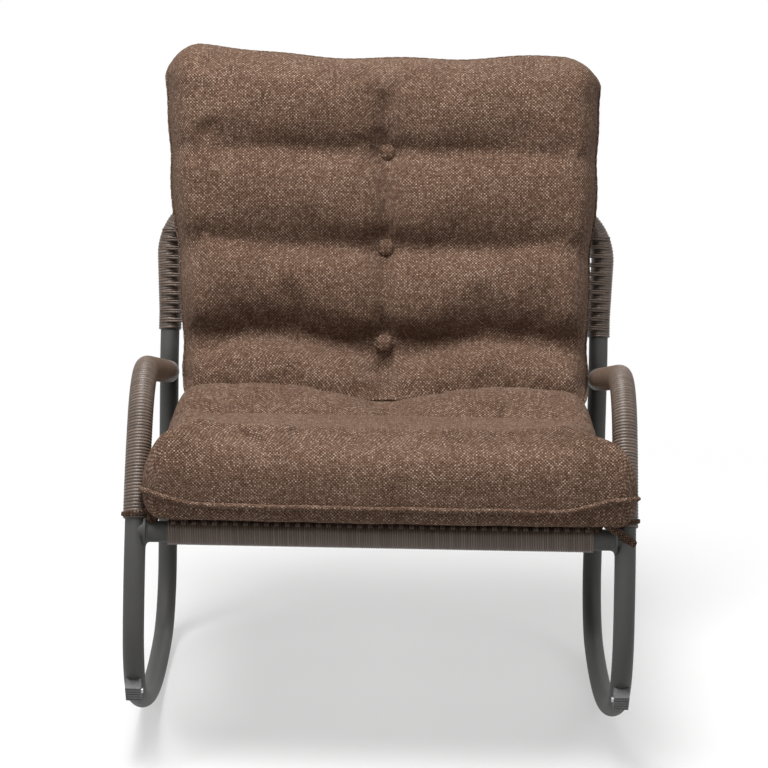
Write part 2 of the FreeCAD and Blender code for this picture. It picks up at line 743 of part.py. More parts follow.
back_stations += [
    ((rows[-1] + back_length) / 2, wide_half - 6, 0.99 * back_thickness, 0.15 * back_thickness),
    (back_length - 28, wide_half - 2, 0.82 * back_thickness, 0.06 * back_thickness),
    (back_length, wide_half - 24, 0.44 * back_thickness, 0.02 * back_thickness),
]
back_base = fold_s + seam_room
back_button_floor = TUFT_FLOOR * back_thickness + BACK_BUTTON_LIFT
back_place = Placement(back_point(0, back_base, pad_lift), back_turn)
pad("back_pad", back_stations, 3.5, back_place, rows, back_button_floor)

# Trim of the pad: covered buttons, the sewn fold, the front piping and the corner ties.
button_radius = size("button_diameter") / 2
button_height = size("button_height")


def button(name, place):
    """A covered button: a flat disc under a round dome, turned about its own axis."""
    rim = 0.35 * button_height
    dome = button_height - rim
    dome_radius = (button_radius ** 2 + dome ** 2) / (2 * dome)
    half_way = math.degrees(math.asin(button_radius / dome_radius)) / 2
    shoulder = Vector(dome_radius * sin(half_way), 0, button_height - dome_radius * (1 - cos(half_way)))
    corners = [
        Vector(0, 0, 0), Vector(button_radius, 0, 0),
        Vector(button_radius, 0, rim), Vector(0, 0, button_height),
    ]
    return turned(name, section_face(corners, {2: shoulder}), AXIS_Z, place)


back_buttons = doc.addObject("Part::Compound", "back_button_set")
button_places = [back_place * Placement(Vector(0, place, back_button_floor), Rotation()) for place in rows]
back_buttons.Links = [button(f"back_button_{number}", place) for number, place in enumerate(button_places)]
keep("back_buttons", back_buttons)
seat_button_place = seat_place * Placement(Vector(0, seat_tuft, seat_button_floor), Rotation())
keep("seat_button", button("seat_button_disc", seat_button_place))

SEAM_RADIUS = "dimensions.seam_diameter / 2"
keep("fold_seam", cylinder(
    "fold_seam_roll", SEAM_RADIUS, f"1.8 * (dimensions.half_track - ({WRAP_OUTER}) - dimensions.waist_room)",
    fold_axis - AXIS_X * 0.9 * waist_half, AXIS_X,
))
PIPING_RISE = 0.16
keep("front_piping", cylinder(
    "front_piping_roll", SEAM_RADIUS, "1.8 * (dimensions.half_track + dimensions.ear_reach)",
    seat_point(-0.9 * ear_half, seat_front - seam_room, pad_lift + PIPING_RISE * seat_thickness), AXIS_X,
))

tie_lean = lean_at(size("rail_height") + size("tie_rise"))
tie_turn = math.degrees(size("tie_width") / leg_radius)
tie_path = side_path(leg_point(tie_lean), 90 - tie_lean).arc(leg_radius, -tie_turn)
TIE_INNER = "dimensions.tube_diameter / 2 + dimensions.wrap_thickness + dimensions.clearance"
tie_band = tube_along("tie_band", tie_path, TIE_INNER + " + dimensions.tie_thickness", TIE_INNER)
tie_down = -tie_path.start_direction
tie_front = Vector(0, -cos(tie_lean), sin(tie_lean))
tie_tail = doc.addObject("Part::Box", "tie_tail_strip")
tie_tail.setExpression("Length", "dimensions.tie_width")
tie_tail.setExpression("Width", "dimensions.tie_tail + dimensions.tie_width / 2")
tie_tail.setExpression("Height", "dimensions.tie_thickness")
tie_tail.Placement = Placement(
    tie_path.start - tie_down * size("tie_width") / 2 - AXIS_X * size("tie_width") / 2
    + tie_front * (wrap_radius + clearance + size("tie_thickness") * 4 / 3),
    Rotation(AXIS_X, tie_down, AXIS_X.cross(tie_down), "ZXY"),
)
left_tie = keep("left_tie", joined("left_tie_knot", tie_band, tie_tail))
keep("right_tie", mirrored("right_tie_knot", left_tie))

doc.recompute()
for item in doc.Objects:
    if "Invalid" in item.State or "Error" in item.State:
        raise RuntimeError(f"{item.Name} did not rebuild")
for node, piece in pieces.items():
    if piece.Shape.isNull() or not piece.Shape.isValid() or not piece.Shape.Solids:
        raise RuntimeError(f"{node} is not a valid solid")

print(f"fold axis at y {fold_axis.y:.2f}, z {fold_axis.z:.2f}")
os.makedirs("parts", exist_ok=True)
for node, piece in pieces.items():
    piece.Shape.exportStep(f"parts/{node}.step")
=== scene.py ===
# %% [markdown]
# # An outdoor rocking chair
# The chair is bent steel tube that stands on two round runners.  Its arms, back loop and rails are wound with
# plastic strand, the seat and the low back are strung with the same strand, and one long tufted pad lies folded
# over both.  The construction model already holds every tube at its real size, so this lesson dresses it.
# The first cell loads that model.  Nothing made here may outgrow it.

# %% Load the frame
import math

import bmesh
import bpy
import numpy as np
from mathutils import Matrix, Vector


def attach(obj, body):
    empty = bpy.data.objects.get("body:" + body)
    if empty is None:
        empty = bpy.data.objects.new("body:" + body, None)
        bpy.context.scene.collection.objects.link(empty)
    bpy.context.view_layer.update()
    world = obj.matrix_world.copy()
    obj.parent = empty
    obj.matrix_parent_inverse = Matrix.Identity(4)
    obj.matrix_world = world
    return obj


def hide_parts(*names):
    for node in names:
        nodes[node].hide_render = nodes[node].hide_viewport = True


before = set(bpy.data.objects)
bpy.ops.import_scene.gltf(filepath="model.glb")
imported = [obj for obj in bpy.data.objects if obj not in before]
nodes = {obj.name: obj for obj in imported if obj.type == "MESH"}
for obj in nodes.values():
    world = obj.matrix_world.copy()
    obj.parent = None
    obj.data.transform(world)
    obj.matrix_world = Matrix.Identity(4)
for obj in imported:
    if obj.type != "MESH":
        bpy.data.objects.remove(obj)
scene = bpy.context.scene
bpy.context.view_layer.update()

# %% [markdown]
# ## The viewpoint
# The picture was taken from straight ahead with a long lens, a little above the arms, so the legs stay almost
# parallel.  The camera's height, distance and tilt were worked out from the tube's known thickness at the front
# legs and at the rear legs.  The horizon leans by about one degree, which a turn about the view axis repeats.

# %% Camera
IMAGE_SIDE = 768
FOCAL_PIXELS = 2855
CAMERA_PLACE = (0.001, -3.92, 1.385)
CAMERA_TILT = math.radians(13.5)
CAMERA_ROLL = math.radians(1.1)

camera_data = bpy.data.cameras.new("photo_camera")
camera_data.sensor_width = 36
camera_data.lens = FOCAL_PIXELS / IMAGE_SIDE * camera_data.sensor_width
camera_data.clip_end = 100
camera = bpy.data.objects.new("photo_camera", camera_data)
scene.collection.objects.link(camera)
tilted = Matrix.Rotation(math.pi / 2 - CAMERA_TILT, 4, "X")
camera.matrix_world = Matrix.Translation(CAMERA_PLACE) @ tilted @ Matrix.Rotation(CAMERA_ROLL, 4, "Z")
scene.camera = camera
print("lens", round(camera_data.lens, 1), "mm")

# %% [markdown]
# ## Studio
# A white sweep with one broad lamp high over the seat, a weak one in front, behind and at each side, and an even
# sky.  The floor takes the chair's soft shadow close by and turns to plain white further off, so it never shows an
# edge.  Only camera, mirror and glass rays see that white, so it adds reflections but no other light to the chair.

# %% Shader arithmetic
class Value:
    """A shader output that takes part in Python arithmetic; each operation adds one Math node."""

    def __init__(self, finish, output):
        self.finish = finish
        self.output = output

    def math(self, operation, *others):
        return self.finish.node("ShaderNodeMath", {"operation": operation}, dict(enumerate((self, *others))))

    def __add__(self, other):
        return self.math("ADD", other)

    __radd__ = __add__

    def __sub__(self, other):
        return self.math("SUBTRACT", other)

    def __rsub__(self, other):
        return self.math("MULTIPLY", -1.0) + other

    def __mul__(self, other):
        return self.math("MULTIPLY", other)

    __rmul__ = __mul__

    def __truediv__(self, other):
        return self.math("DIVIDE", other)

    def __pow__(self, other):
        return self.math("POWER", other)

    def floor(self):
        return self.math("FLOOR")

    def fraction(self):
        return self.math("FRACT")

    def sine(self):
        return self.math("SINE")

    def size(self):
        return self.math("ABSOLUTE")

    def above(self, other):
        return self.math("GREATER_THAN", other)

    def ease(self, low, high):
        """0 below low, 1 above high, and a smooth slope between."""
        ends = {"Value": self, "From Min": low, "From Max": high}
        return self.finish.node("ShaderNodeMapRange", {"interpolation_type": "SMOOTHSTEP"}, ends)


class Finish:
    """A material whose nodes are added one by one, each by the same method."""

    def __init__(self, name):
        self.material = bpy.data.materials.new(name)
        self.material.use_nodes = True
        self.tree = self.material.node_tree
        self.shader = self.tree.nodes["Principled BSDF"]

    def put(self, socket, value):
        """Links a Value, or sets a plain number or colour."""
        if isinstance(value, Value):
            self.tree.links.new(value.output, socket)
        else:
            socket.default_value = value

    def node(self, kind, settings=None, inputs=None, output=0):
        """Adds a node: its settings first, with a ramp's stops among them, then its sockets by name or number."""
        made = self.tree.nodes.new(kind)
        for key, setting in (settings or {}).items():
            if key == "stops":
                ramp = made.color_ramp
                while len(ramp.elements) < len(setting):
                    ramp.elements.new(0.5)
                for element, (place, colour) in zip(ramp.elements, setting):
                    element.position = place
                    element.color = (*colour, 1)
            else:
                setattr(made, key, setting)
        for key, value in (inputs or {}).items():
            self.put(made.inputs[key], value)
        return Value(self, made.outputs[output])

    def surface(self, **sockets):
        """Sets the shader's own sockets; underscores stand for spaces."""
        for name, value in sockets.items():
            self.put(self.shader.inputs[name.replace("_", " ")], value)
        return self.material

    def blend(self, share, first, second):
        """A mix of two colours."""
        made = self.tree.nodes.new("ShaderNodeMix")
        made.data_type = "RGBA"
        for number, value in ((0, share), (6, first), (7, second)):
            self.put(made.inputs[number], (*value, 1) if isinstance(value, tuple) else value)
        return Value(self, made.outputs[2])

    def place(self, source="Object"):
        """The point being shaded, as a vector and as its x, y and z."""
        vector = self.node("ShaderNodeTexCoord", output=source)
        split = self.tree.nodes.new("ShaderNodeSeparateXYZ")
        self.put(split.inputs[0], vector)
        return vector, [Value(self, output) for output in split.outputs]

    def cloud(self, vector, scale, detail=2.0, roughness=0.5):
        """Soft noise from 0 to 1."""
        inputs = {"Vector": vector, "Scale": scale, "Detail": detail, "Roughness": roughness}
        return self.node("ShaderNodeTexNoise", None, inputs)

    def chance(self, across, along):
        """A number from 0 to 1 that stays the same over each whole-numbered cell."""
        cell = self.node("ShaderNodeCombineXYZ", None, {0: across, 1: along})
        return self.node("ShaderNodeTexWhiteNoise", {"noise_dimensions": "3D"}, {"Vector": cell}, "Value")

    def relief(self, height, depth, strength=1.0):
        """A bump from a height field, with its depth in metres."""
        inputs = {"Height": height, "Distance": depth, "Strength": strength}
        return self.node("ShaderNodeBump", None, inputs)


print("shader arithmetic ready")

# %% Floor, sky and lamps
FLOOR_SIDE = 60.0
floor_mesh = bpy.data.meshes.new("studio_floor")
half = FLOOR_SIDE / 2
floor_mesh.from_pydata([(-half, -half, 0), (half, -half, 0), (half, half, 0), (-half, half, 0)], [], [(0, 1, 2, 3)])
floor = bpy.data.objects.new("studio_floor", floor_mesh)
scene.collection.objects.link(floor)

sweep = Finish("studio_sweep")
_, (floor_x, floor_y, _) = sweep.place()
reach = (floor_x * floor_x + (floor_y - 0.1) * (floor_y - 0.1)) ** 0.5
far = reach.ease(0.55, 1.7)
rays = sweep.tree.nodes.new("ShaderNodeLightPath")
seen = Value(sweep, rays.outputs["Is Camera Ray"]) + Value(sweep, rays.outputs["Is Glossy Ray"])
seen = (seen + Value(sweep, rays.outputs["Is Transmission Ray"])).math("MINIMUM", 1.0)
paper = sweep.node("ShaderNodeBsdfDiffuse", None, {"Color": (0.46, 0.46, 0.46, 1)})
lift = sweep.node("ShaderNodeEmission", None, {"Color": (1, 1, 1, 1), "Strength": seen * 0.49})
near = sweep.node("ShaderNodeAddShader", None, {0: paper, 1: lift})
white = sweep.node("ShaderNodeEmission", None, {"Color": (1, 1, 1, 1), "Strength": 1.0})
plain = sweep.node("ShaderNodeMixShader", None, {0: seen * far, 1: near, 2: white})
sweep.tree.links.new(plain.output, sweep.tree.nodes["Material Output"].inputs["Surface"])
floor_mesh.materials.append(sweep.material)

world = bpy.data.worlds.new("studio_sky")
world.use_nodes = True
scene.world = world
sky = world.node_tree
sky_rays = sky.nodes.new("ShaderNodeLightPath")
sky_light = sky.nodes["Background"]
sky_light.inputs["Color"].default_value = (1.0, 0.99, 0.98, 1)
sky_light.inputs["Strength"].default_value = 0.22
sky_white = sky.nodes.new("ShaderNodeBackground")
sky_white.inputs["Strength"].default_value = 1.0
sky_mix = sky.nodes.new("ShaderNodeMixShader")
sky_seen = sky_rays.outputs["Is Camera Ray"]
for kind in ("Is Glossy Ray", "Is Transmission Ray"):
    either = sky.nodes.new("ShaderNodeMath")
    either.operation = "MAXIMUM"
    sky.links.new(sky_seen, either.inputs[0])
    sky.links.new(sky_rays.outputs[kind], either.inputs[1])
    sky_seen = either.outputs[0]
sky.links.new(sky_seen, sky_mix.inputs[0])
sky.links.new(sky_light.outputs[0], sky_mix.inputs[1])
sky.links.new(sky_white.outputs[0], sky_mix.inputs[2])
sky.links.new(sky_mix.outputs[0], sky.nodes["World Output"].inputs["Surface"])


def lamp(name, place, target, side, power):
    """A square soft box at a place, aimed at a target."""
    data = bpy.data.lights.new(name, "AREA")
    data.size = side
    data.energy = power
    box = bpy.data.objects.new(name, data)
    aim = Vector(target) - Vector(place)
    box.matrix_world = Matrix.Translation(place) @ aim.to_track_quat("-Z", "Y").to_matrix().to_4x4()
    scene.collection.objects.link(box)


CHAIR_MIDDLE = (0, 0, 0.45)
lamp("top_softbox", (-0.4, -0.7, 3.2), CHAIR_MIDDLE, 1.5, 132)
lamp("front_softbox", (-1.0, -3.2, 1.9), CHAIR_MIDDLE, 1.6, 11)
lamp("right_softbox", (2.6, -0.8, 1.7), CHAIR_MIDDLE, 1.5, 13)
lamp("left_softbox", (-2.6, -0.6, 1.6), CHAIR_MIDDLE, 1.5, 13)
lamp("rear_softbox", (0.6, 3.0, 1.9), CHAIR_MIDDLE, 1.5, 12)
scene.view_settings.view_transform = "Standard"

# %% [markdown]
# ## Powder coat, plastic and steel
# The bare tube is charcoal powder coat: a matt grey with a very fine orange-peel skin, a touch lighter where the
# coat is thin.  Object coordinates are in metres, so a noise scale of 900 makes grains about a millimetre wide.

# %% Hard finishes
def powder_coat():
    """Charcoal powder coat with a fine pebbled skin and slow changes of tone."""
    coat = Finish("charcoal_powder_coat")
    vector, _ = coat.place()
    grain = coat.cloud(vector, 1400, 3.0)
    drift = coat.cloud(vector, 9, 3.0)
    tone = coat.blend(drift, (0.047, 0.047, 0.045), (0.066, 0.065, 0.062))
    speck = coat.blend(grain.ease(0.60, 0.72) * 0.35, tone, (0.16, 0.16, 0.155))
    return coat.surface(
        Base_Color=speck, Roughness=0.50 + 0.14 * drift, Normal=coat.relief(grain, 0.00012, 0.5),
        Specular_IOR_Level=0.32,
    )


def grey_plastic():
    """Moulded grey plastic, scuffed paler in fine scratches."""
    plastic = Finish("grey_glide_plastic")
    vector, _ = plastic.place()
    scuff = plastic.cloud(vector, 260, 4.0, 0.7).ease(0.50, 0.72)
    tone = plastic.blend(scuff, (0.075, 0.075, 0.077), (0.15, 0.15, 0.152))
    return plastic.surface(
        Base_Color=tone, Roughness=0.5 + 0.2 * scuff, Normal=plastic.relief(plastic.cloud(vector, 1800), 0.0001, 0.4),
    )


def plated_steel():
    """Zinc-plated steel with faint turning marks."""
    steel = Finish("zinc_plated_steel")
    vector, _ = steel.place()
    bloom = steel.cloud(vector, 420, 3.0)
    tone = steel.blend(bloom, (0.42, 0.42, 0.41), (0.58, 0.58, 0.57))
    return steel.surface(Base_Color=tone, Metallic=1.0, Roughness=0.3 + 0.25 * bloom)


coat = powder_coat()
glide_finish = grey_plastic()
steel = plated_steel()
BARE_TUBES = (
    "left_arm_leg_tube", "right_arm_leg_tube", "left_rocker_tube", "right_rocker_tube",
    "back_loop_tube", "front_rail", "rear_rail",
)
finishes = {node: coat for node in BARE_TUBES}
finishes.update({node: glide_finish for node in ("left_glide", "right_glide")})
finishes.update({node: steel for node in ("left_back_spigot", "right_back_spigot", "back_joint_bolts", "glide_screws")})
for node, finish in finishes.items():
    nodes[node].data.materials.clear()
    nodes[node].data.materials.append(finish)
print(len(finishes), "construction nodes finished")

# %% [markdown]
# ## Paths of the tubes
# The strand follows the tubes, so it needs their centre lines.  Each is made of straight runs and tangent arcs in
# one plane.  Instead of storing points, a small function walks the runs and answers for any array of distances,
# giving the point and the direction there.

# %% Centre lines
def walk(start, first, second, heading, runs, distances):
    """Points and tangents at distances along a plane path of runs (length, turn in degrees).

    A run bends at a constant rate.  On one with turn t over length L, heading h changes by t * d / L after d, and
    the chord from its start is the sinc of half that turn times d, at the mean heading.
    """
    first, second, place = (np.asarray(v, float) for v in (first, second, start))
    points = np.zeros((len(distances), 3))
    headings = np.zeros(len(distances))
    begun = 0.0
    angle = math.radians(heading)
    for number, (length, turn) in enumerate(runs):
        turn = math.radians(turn)
        last = number == len(runs) - 1
        inside = (distances >= begun - 1e-9) & ((distances <= begun + length + 1e-9) | last)
        along = np.append(distances[inside] - begun, length)
        bend = turn * along / length
        chord = along * np.sinc(bend / 2 / np.pi)
        mean = angle + bend / 2
        reached = place + chord[:, None] * (np.cos(mean)[:, None] * first + np.sin(mean)[:, None] * second)
        points[inside] = reached[:-1]
        headings[inside] = (angle + bend)[:-1]
        place = reached[-1]
        begun += length
        angle += turn
    tangents = np.cos(headings)[:, None] * first + np.sin(headings)[:, None] * second
    return points, tangents


def bend_run(radius, turn):
    """The run of an arc, from its radius in metres and its turn in degrees."""
    return radius * math.radians(abs(turn)), turn


AXIS_X = np.array((1.0, 0, 0))
AXIS_Y = np.array((0, 1.0, 0))
AXIS_Z = np.array((0, 0, 1.0))
HALF_TRACK = 0.320
TUBE_RADIUS = 0.014
WRAP_RADIUS = 0.017

ROCKER_RADIUS, FOOT_RADIUS, LEG_RADIUS, ARM_RADIUS = 0.700, 0.108, 0.520, 0.115
FRONT_ANGLE, LEAN_LOW, LEAN_HIGH, ARM_DROP = 26.6, 7.0, 38.0, 14.0
foot_y = -ROCKER_RADIUS * math.sin(math.radians(FRONT_ANGLE))
foot_z = TUBE_RADIUS + ROCKER_RADIUS * (1 - math.cos(math.radians(FRONT_ANGLE)))
foot = bend_run(FOOT_RADIUS, -(90 - FRONT_ANGLE + LEAN_LOW))
leg = bend_run(LEG_RADIUS, -(LEAN_HIGH - LEAN_LOW))
elbow = bend_run(ARM_RADIUS, -(90 - LEAN_HIGH + ARM_DROP))
ARM_STRAIGHT = 0.3913
arm_runs = [foot, leg, elbow, (ARM_STRAIGHT, 0.0)]
arm_total = sum(length for length, _ in arm_runs)


def arm_line(distances, side):
    """The front leg and arm on one side (-1 left, 1 right), from the foot weld to the rear leg."""
    start = (side * HALF_TRACK, foot_y, foot_z)
    return walk(start, AXIS_Y, AXIS_Z, 180 - FRONT_ANGLE, arm_runs, distances)


trial = np.linspace(0, arm_total, 4001)
trial_points, _ = arm_line(trial, -1)
RAIL_HEIGHT = 0.322
rail_place = int(np.argmax(trial_points[:, 2] > RAIL_HEIGHT))
rail_front = trial_points[rail_place]
print("front rail at", np.round(rail_front, 4).tolist(), "arm ends at", np.round(trial_points[-1], 4).tolist())

RECLINE, SEAT_SLOPE = math.radians(18), math.radians(6)
back_up = np.array((0, math.sin(RECLINE), math.cos(RECLINE)))
back_front = np.array((0, -math.cos(RECLINE), math.sin(RECLINE)))
back_origin = np.array((0, 0.24521, 0.45979))
seat_back = np.array((0, math.cos(SEAT_SLOPE), -math.sin(SEAT_SLOPE)))
seat_up = np.array((0, math.sin(SEAT_SLOPE), math.cos(SEAT_SLOPE)))
seat_origin = np.array((0, rail_front[1], RAIL_HEIGHT))
SEAT_LENGTH = 0.562
rear_rail = seat_origin + seat_back * SEAT_LENGTH

LOOP_HEIGHT, LOOP_STRAIGHT, LOOP_CORNER, FLARE_RADIUS, FLARE = 0.200, 0.026, 0.082, 0.200, 3.0
flare_sine, flare_cosine = math.sin(math.radians(FLARE)), math.cos(math.radians(FLARE))
upright = (LOOP_HEIGHT - LOOP_STRAIGHT - FLARE_RADIUS * flare_sine - LOOP_CORNER * (1 + flare_sine)) / flare_cosine
corner_in = HALF_TRACK + FLARE_RADIUS * (1 - flare_cosine) + upright * flare_sine - LOOP_CORNER * flare_cosine
half_loop = [(LOOP_STRAIGHT, 0.0), bend_run(FLARE_RADIUS, FLARE), (upright, 0.0), bend_run(LOOP_CORNER, -90 - FLARE)]
loop_runs = half_loop + [(2 * corner_in, 0.0)] + half_loop[::-1]
loop_total = sum(length for length, _ in loop_runs)


def loop_line(distances):
    """The back loop, from the left joint over the top to the right joint."""
    return walk(back_origin - HALF_TRACK * AXIS_X, AXIS_X, back_up, 90, loop_runs, distances)


loop_end = loop_line(np.array((loop_total,)))[0][0]
print("back loop", round(loop_total, 3), "m long, ends at", np.round(loop_end, 4).tolist())

# %% [markdown]
# ## Wound strand
# Plastic strand about four millimetres wide, and three on the rails, is wound round the tubes in touching turns.
# A separate coil of two hundred turns would be heavy, so the winding is one surface: a sleeve whose radius rises
# and falls as a row of half circles, shifted by one turn for every trip round the tube.  Eight steps to a turn
# keep the strands round.  An inner wall and both end rings close it, and its UV map counts the turns, which lets
# the finish colour each one.

# %% Mesh from a grid
def grid_object(name, points, turns=(False, False), uv=None, finish=None):
    """A mesh over a (rows, columns, 3) array of points.

    turns says whether the rows and the columns close on themselves.  uv has one more row or column where they do,
    so that the map runs on without jumping back at the join.
    """
    rows, columns = points.shape[:2]
    row = np.arange(rows if turns[0] else rows - 1)[:, None]
    column = np.arange(columns if turns[1] else columns - 1)[None, :]
    corners = [(row, column), (row, column + 1), (row + 1, column + 1), (row + 1, column)]
    faces = np.stack([(r % rows) * columns + c % columns for r, c in corners], axis=-1).reshape(-1, 4)
    mesh = bpy.data.meshes.new(name)
    mesh.from_pydata(points.reshape(-1, 3).tolist(), [], faces.tolist())
    if uv is not None:
        picked = np.stack([uv[np.broadcast_arrays(r, c)[0], np.broadcast_arrays(r, c)[1]] for r, c in corners], axis=2)
        layer = mesh.uv_layers.new(name="surface")
        layer.data.foreach_set("uv", picked.reshape(-1).astype(np.float32))
    mesh.polygons.foreach_set("use_smooth", np.ones(len(mesh.polygons), bool))
    piece = bpy.data.objects.new(name, mesh)
    scene.collection.objects.link(piece)
    if finish:
        mesh.materials.append(finish)
    return piece


def ring_frame(tangents, across):
    """Unit vectors square to a plane path: out of its plane, and within it."""
    across = np.broadcast_to(np.asarray(across, float), tangents.shape)
    return across, np.cross(tangents, across)


print("grid helper ready")

# %% Strand finish and windings
STRAND_PITCH = 0.0042


def strand_finish(name, dark, light):
    """Satin plastic strand: a tone for each turn, painted shade in the grooves between turns and faint lengthwise
    scratches.
    """
    strand = Finish(name)
    _, (around, turn, _) = strand.place("UV")
    vector, _ = strand.place()
    tone = strand.chance(turn.floor(), 0.0)
    groove = 1 - (2 * turn.fraction() - 1).size()
    drift = strand.cloud(vector, 26, 3.0)
    body = strand.blend((tone * 0.6 + drift * 0.4).ease(0.1, 0.9), dark, light)
    # Painted shade: towards each groove between turns the colour falls to a third of the dark tone.
    shaded = strand.blend(groove.ease(0.0, 0.42), tuple(0.30 * c for c in dark), body)
    streak = strand.cloud(vector, 700, 2.0)
    return strand.surface(
        Base_Color=shaded, Roughness=0.36 + 0.14 * streak, Normal=strand.relief(streak, 0.00008, 0.5),
        Specular_IOR_Level=0.48,
    )


strand = strand_finish("taupe_strand", (0.082, 0.054, 0.038), (0.132, 0.092, 0.068))


def winding(name, line, start, end, across, nodes_replaced, pitch=STRAND_PITCH, steps=8, around=28):
    """Touching turns of strand on a tube.

    The radius at distance d and angle a is the groove's radius plus the height of a half circle, whose phase is
    d / pitch - a / full turn.
    """
    groove = WRAP_RADIUS - 0.0014
    count = int(round((end - start) / pitch)) * steps
    outer = np.linspace(start, end, count + 1)
    inner = np.linspace(end, start, max(count // 14, 12))
    distances = np.concatenate((outer, inner))
    angle = np.arange(around) / around * 2 * np.pi
    turn = (distances[:, None] - start) / pitch - angle[None, :] / (2 * np.pi)
    ridge = np.sqrt(1 - np.minimum((2 * (turn % 1) - 1) ** 2, 1))
    radius = groove + (WRAP_RADIUS - groove) * ridge
    radius[0] = radius[count] = groove
    radius[count + 1:] = TUBE_RADIUS - 0.0002
    points, tangents = line(distances)
    side, inward = ring_frame(tangents, across)
    spoke = np.cos(angle)[None, :, None] * side[:, None, :] + np.sin(angle)[None, :, None] * inward[:, None, :]
    surface = points[:, None, :] + radius[:, :, None] * spoke
    phase = np.arange(around + 1) / around
    uv_turn = (np.append(distances, distances[0])[:, None] - start) / pitch - phase[None, :]
    uv = np.stack((np.broadcast_to(phase, uv_turn.shape), uv_turn), axis=-1)
    piece = grid_object(name, surface[:, ::-1], (True, True), uv[:, ::-1], strand)
    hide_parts(*nodes_replaced)
    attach(piece, "chair_frame")
    print(name, len(piece.data.polygons), "faces,", count // steps, "turns")
    return piece


wrap_start = trial[int(np.argmax(trial_points[:, 2] > RAIL_HEIGHT + 0.0150))]
for side, label in ((-1, "left"), (1, "right")):
    winding(
        f"{label}_arm_winding", lambda d, side=side: arm_line(d, side), wrap_start, arm_total - 0.026,
        AXIS_X, [f"{label}_arm_wrap"],
    )
winding("back_loop_winding", loop_line, 0.003, loop_total - 0.003, back_front, ["back_loop_wrap"])


def rail_line(middle):
    """A straight line along +X through a point."""
    return lambda d: (middle + d[:, None] * AXIS_X, np.broadcast_to(AXIS_X, (len(d), 3)))


RAIL_BARE = 0.042
wound_half = HALF_TRACK - RAIL_BARE
RAIL_PITCH = 0.0031
for label, middle in (("front", seat_origin), ("rear", rear_rail)):
    winding(
        f"{label}_rail_winding", rail_line(middle), -wound_half, wound_half, AXIS_Y, [f"{label}_rail_wrap"], RAIL_PITCH,
    )

# %% [markdown]
# ## Strung seat and back
# Pairs of strand run from rail to rail under the pad, and across the back loop, and a few cross strands weave
# over and under them.  Each is a round tube carried along a path.  All the tubes of one panel are computed in a
# single array, with one row of rings for each strand, and they dip into the winding at both ends.

# %% Strung panels
def tubes_object(name, paths, radius, sides, finish):
    """Round tubes along an array of paths (tubes, steps, 3), with flat caps.

    A ring's plane is square to the path's tangent: it holds the cross product of the tangent with one fixed slanted
    direction, and the cross product of the tangent with that.
    """
    tubes, steps = paths.shape[:2]
    tangents = np.gradient(paths, axis=1)
    tangents /= np.linalg.norm(tangents, axis=2, keepdims=True)
    helper = np.cross(tangents, np.array((0.31, 0.52, 0.79)))
    helper /= np.linalg.norm(helper, axis=2, keepdims=True)
    other = np.cross(tangents, helper)
    angle = np.arange(sides) / sides * 2 * np.pi
    spoke = np.cos(angle)[:, None] * helper[:, :, None, :] + np.sin(angle)[:, None] * other[:, :, None, :]
    points = paths[:, :, None, :] + radius * spoke
    index = np.arange(tubes * steps * sides).reshape(tubes, steps, sides)
    turned = np.roll(index, -1, axis=2)
    walls = np.stack((index[:, :-1], turned[:, :-1], turned[:, 1:], index[:, 1:]), axis=-1).reshape(-1, 4)
    caps = np.concatenate((index[:, 0, ::-1], index[:, -1, :]))
    mesh = bpy.data.meshes.new(name)
    mesh.from_pydata(points.reshape(-1, 3).tolist(), [], walls.tolist() + caps.tolist())
    along = np.broadcast_to(np.arange(tubes)[:, None, None] + 0.5, (tubes, steps, sides)).reshape(-1)
    loops = np.zeros(len(mesh.loops), np.int32)
    mesh.loops.foreach_get("vertex_index", loops)
    layer = mesh.uv_layers.new(name="surface")
    layer.data.foreach_set("uv", np.stack((np.zeros(len(loops)), along[loops]), axis=1).astype(np.float32).reshape(-1))
    mesh.polygons.foreach_set("use_smooth", np.ones(len(mesh.polygons), bool))
    mesh.materials.append(finish)
    piece = bpy.data.objects.new(name, mesh)
    scene.collection.objects.link(piece)
    return piece


STRAND_RADIUS = 0.0015
PAIR_PITCH = 0.0135


def strung(name, width, length, place, long_axis, wide_axis, lift_axis, node):
    """A panel of paired long strands and woven cross strands, in a frame given by three axes.

    Long strands: height falls as a parabola towards the middle and dives round the tubes at both ends.
    Cross strands: height swings as a sine with one half wave for each pair.
    """
    pairs = int(width // PAIR_PITCH)
    middles = (np.arange(pairs) - (pairs - 1) / 2) * PAIR_PITCH
    wide = (middles[:, None] + np.array((-1, 1)) * STRAND_RADIUS * 1.04).reshape(-1)
    reach = np.linspace(-0.012, length + 0.012, 61)
    inside = np.clip(reach / length, 0, 1)
    sag = -0.0035 * (1 - (2 * inside - 1) ** 2)
    over = np.maximum(-reach, reach - length).clip(0)
    dive = np.sqrt(np.maximum(0.0186 ** 2 - over ** 2, 0)) - 0.0186
    height = 0.0188 + sag + 1.5 * dive
    long_paths = (
        place + wide[:, None, None] * wide_axis + reach[None, :, None] * long_axis + height[None, :, None] * lift_axis
    )
    rows = np.linspace(0.10, 0.90, 5) * length
    across = np.linspace(-width / 2, width / 2, 6 * pairs + 1)
    sway = 0.0016 * np.sin(np.pi * across / PAIR_PITCH)
    swing = np.where(np.arange(len(rows)) % 2, 1, -1)[:, None] * sway[None, :]
    row_height = 0.0188 - 0.0035 * (1 - (2 * rows / length - 1) ** 2)
    cross_paths = (
        place + across[None, :, None] * wide_axis + rows[:, None, None] * long_axis
        + (row_height[:, None] + swing)[:, :, None] * lift_axis
    )
    long_piece = tubes_object(f"{name}_long_strands", long_paths, STRAND_RADIUS, 8, strand)
    cross_piece = tubes_object(f"{name}_cross_strands", cross_paths, STRAND_RADIUS * 0.9, 8, strand)
    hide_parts(node)
    for piece in (long_piece, cross_piece):
        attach(piece, "chair_frame")
    print(name, 2 * pairs, "long strands")


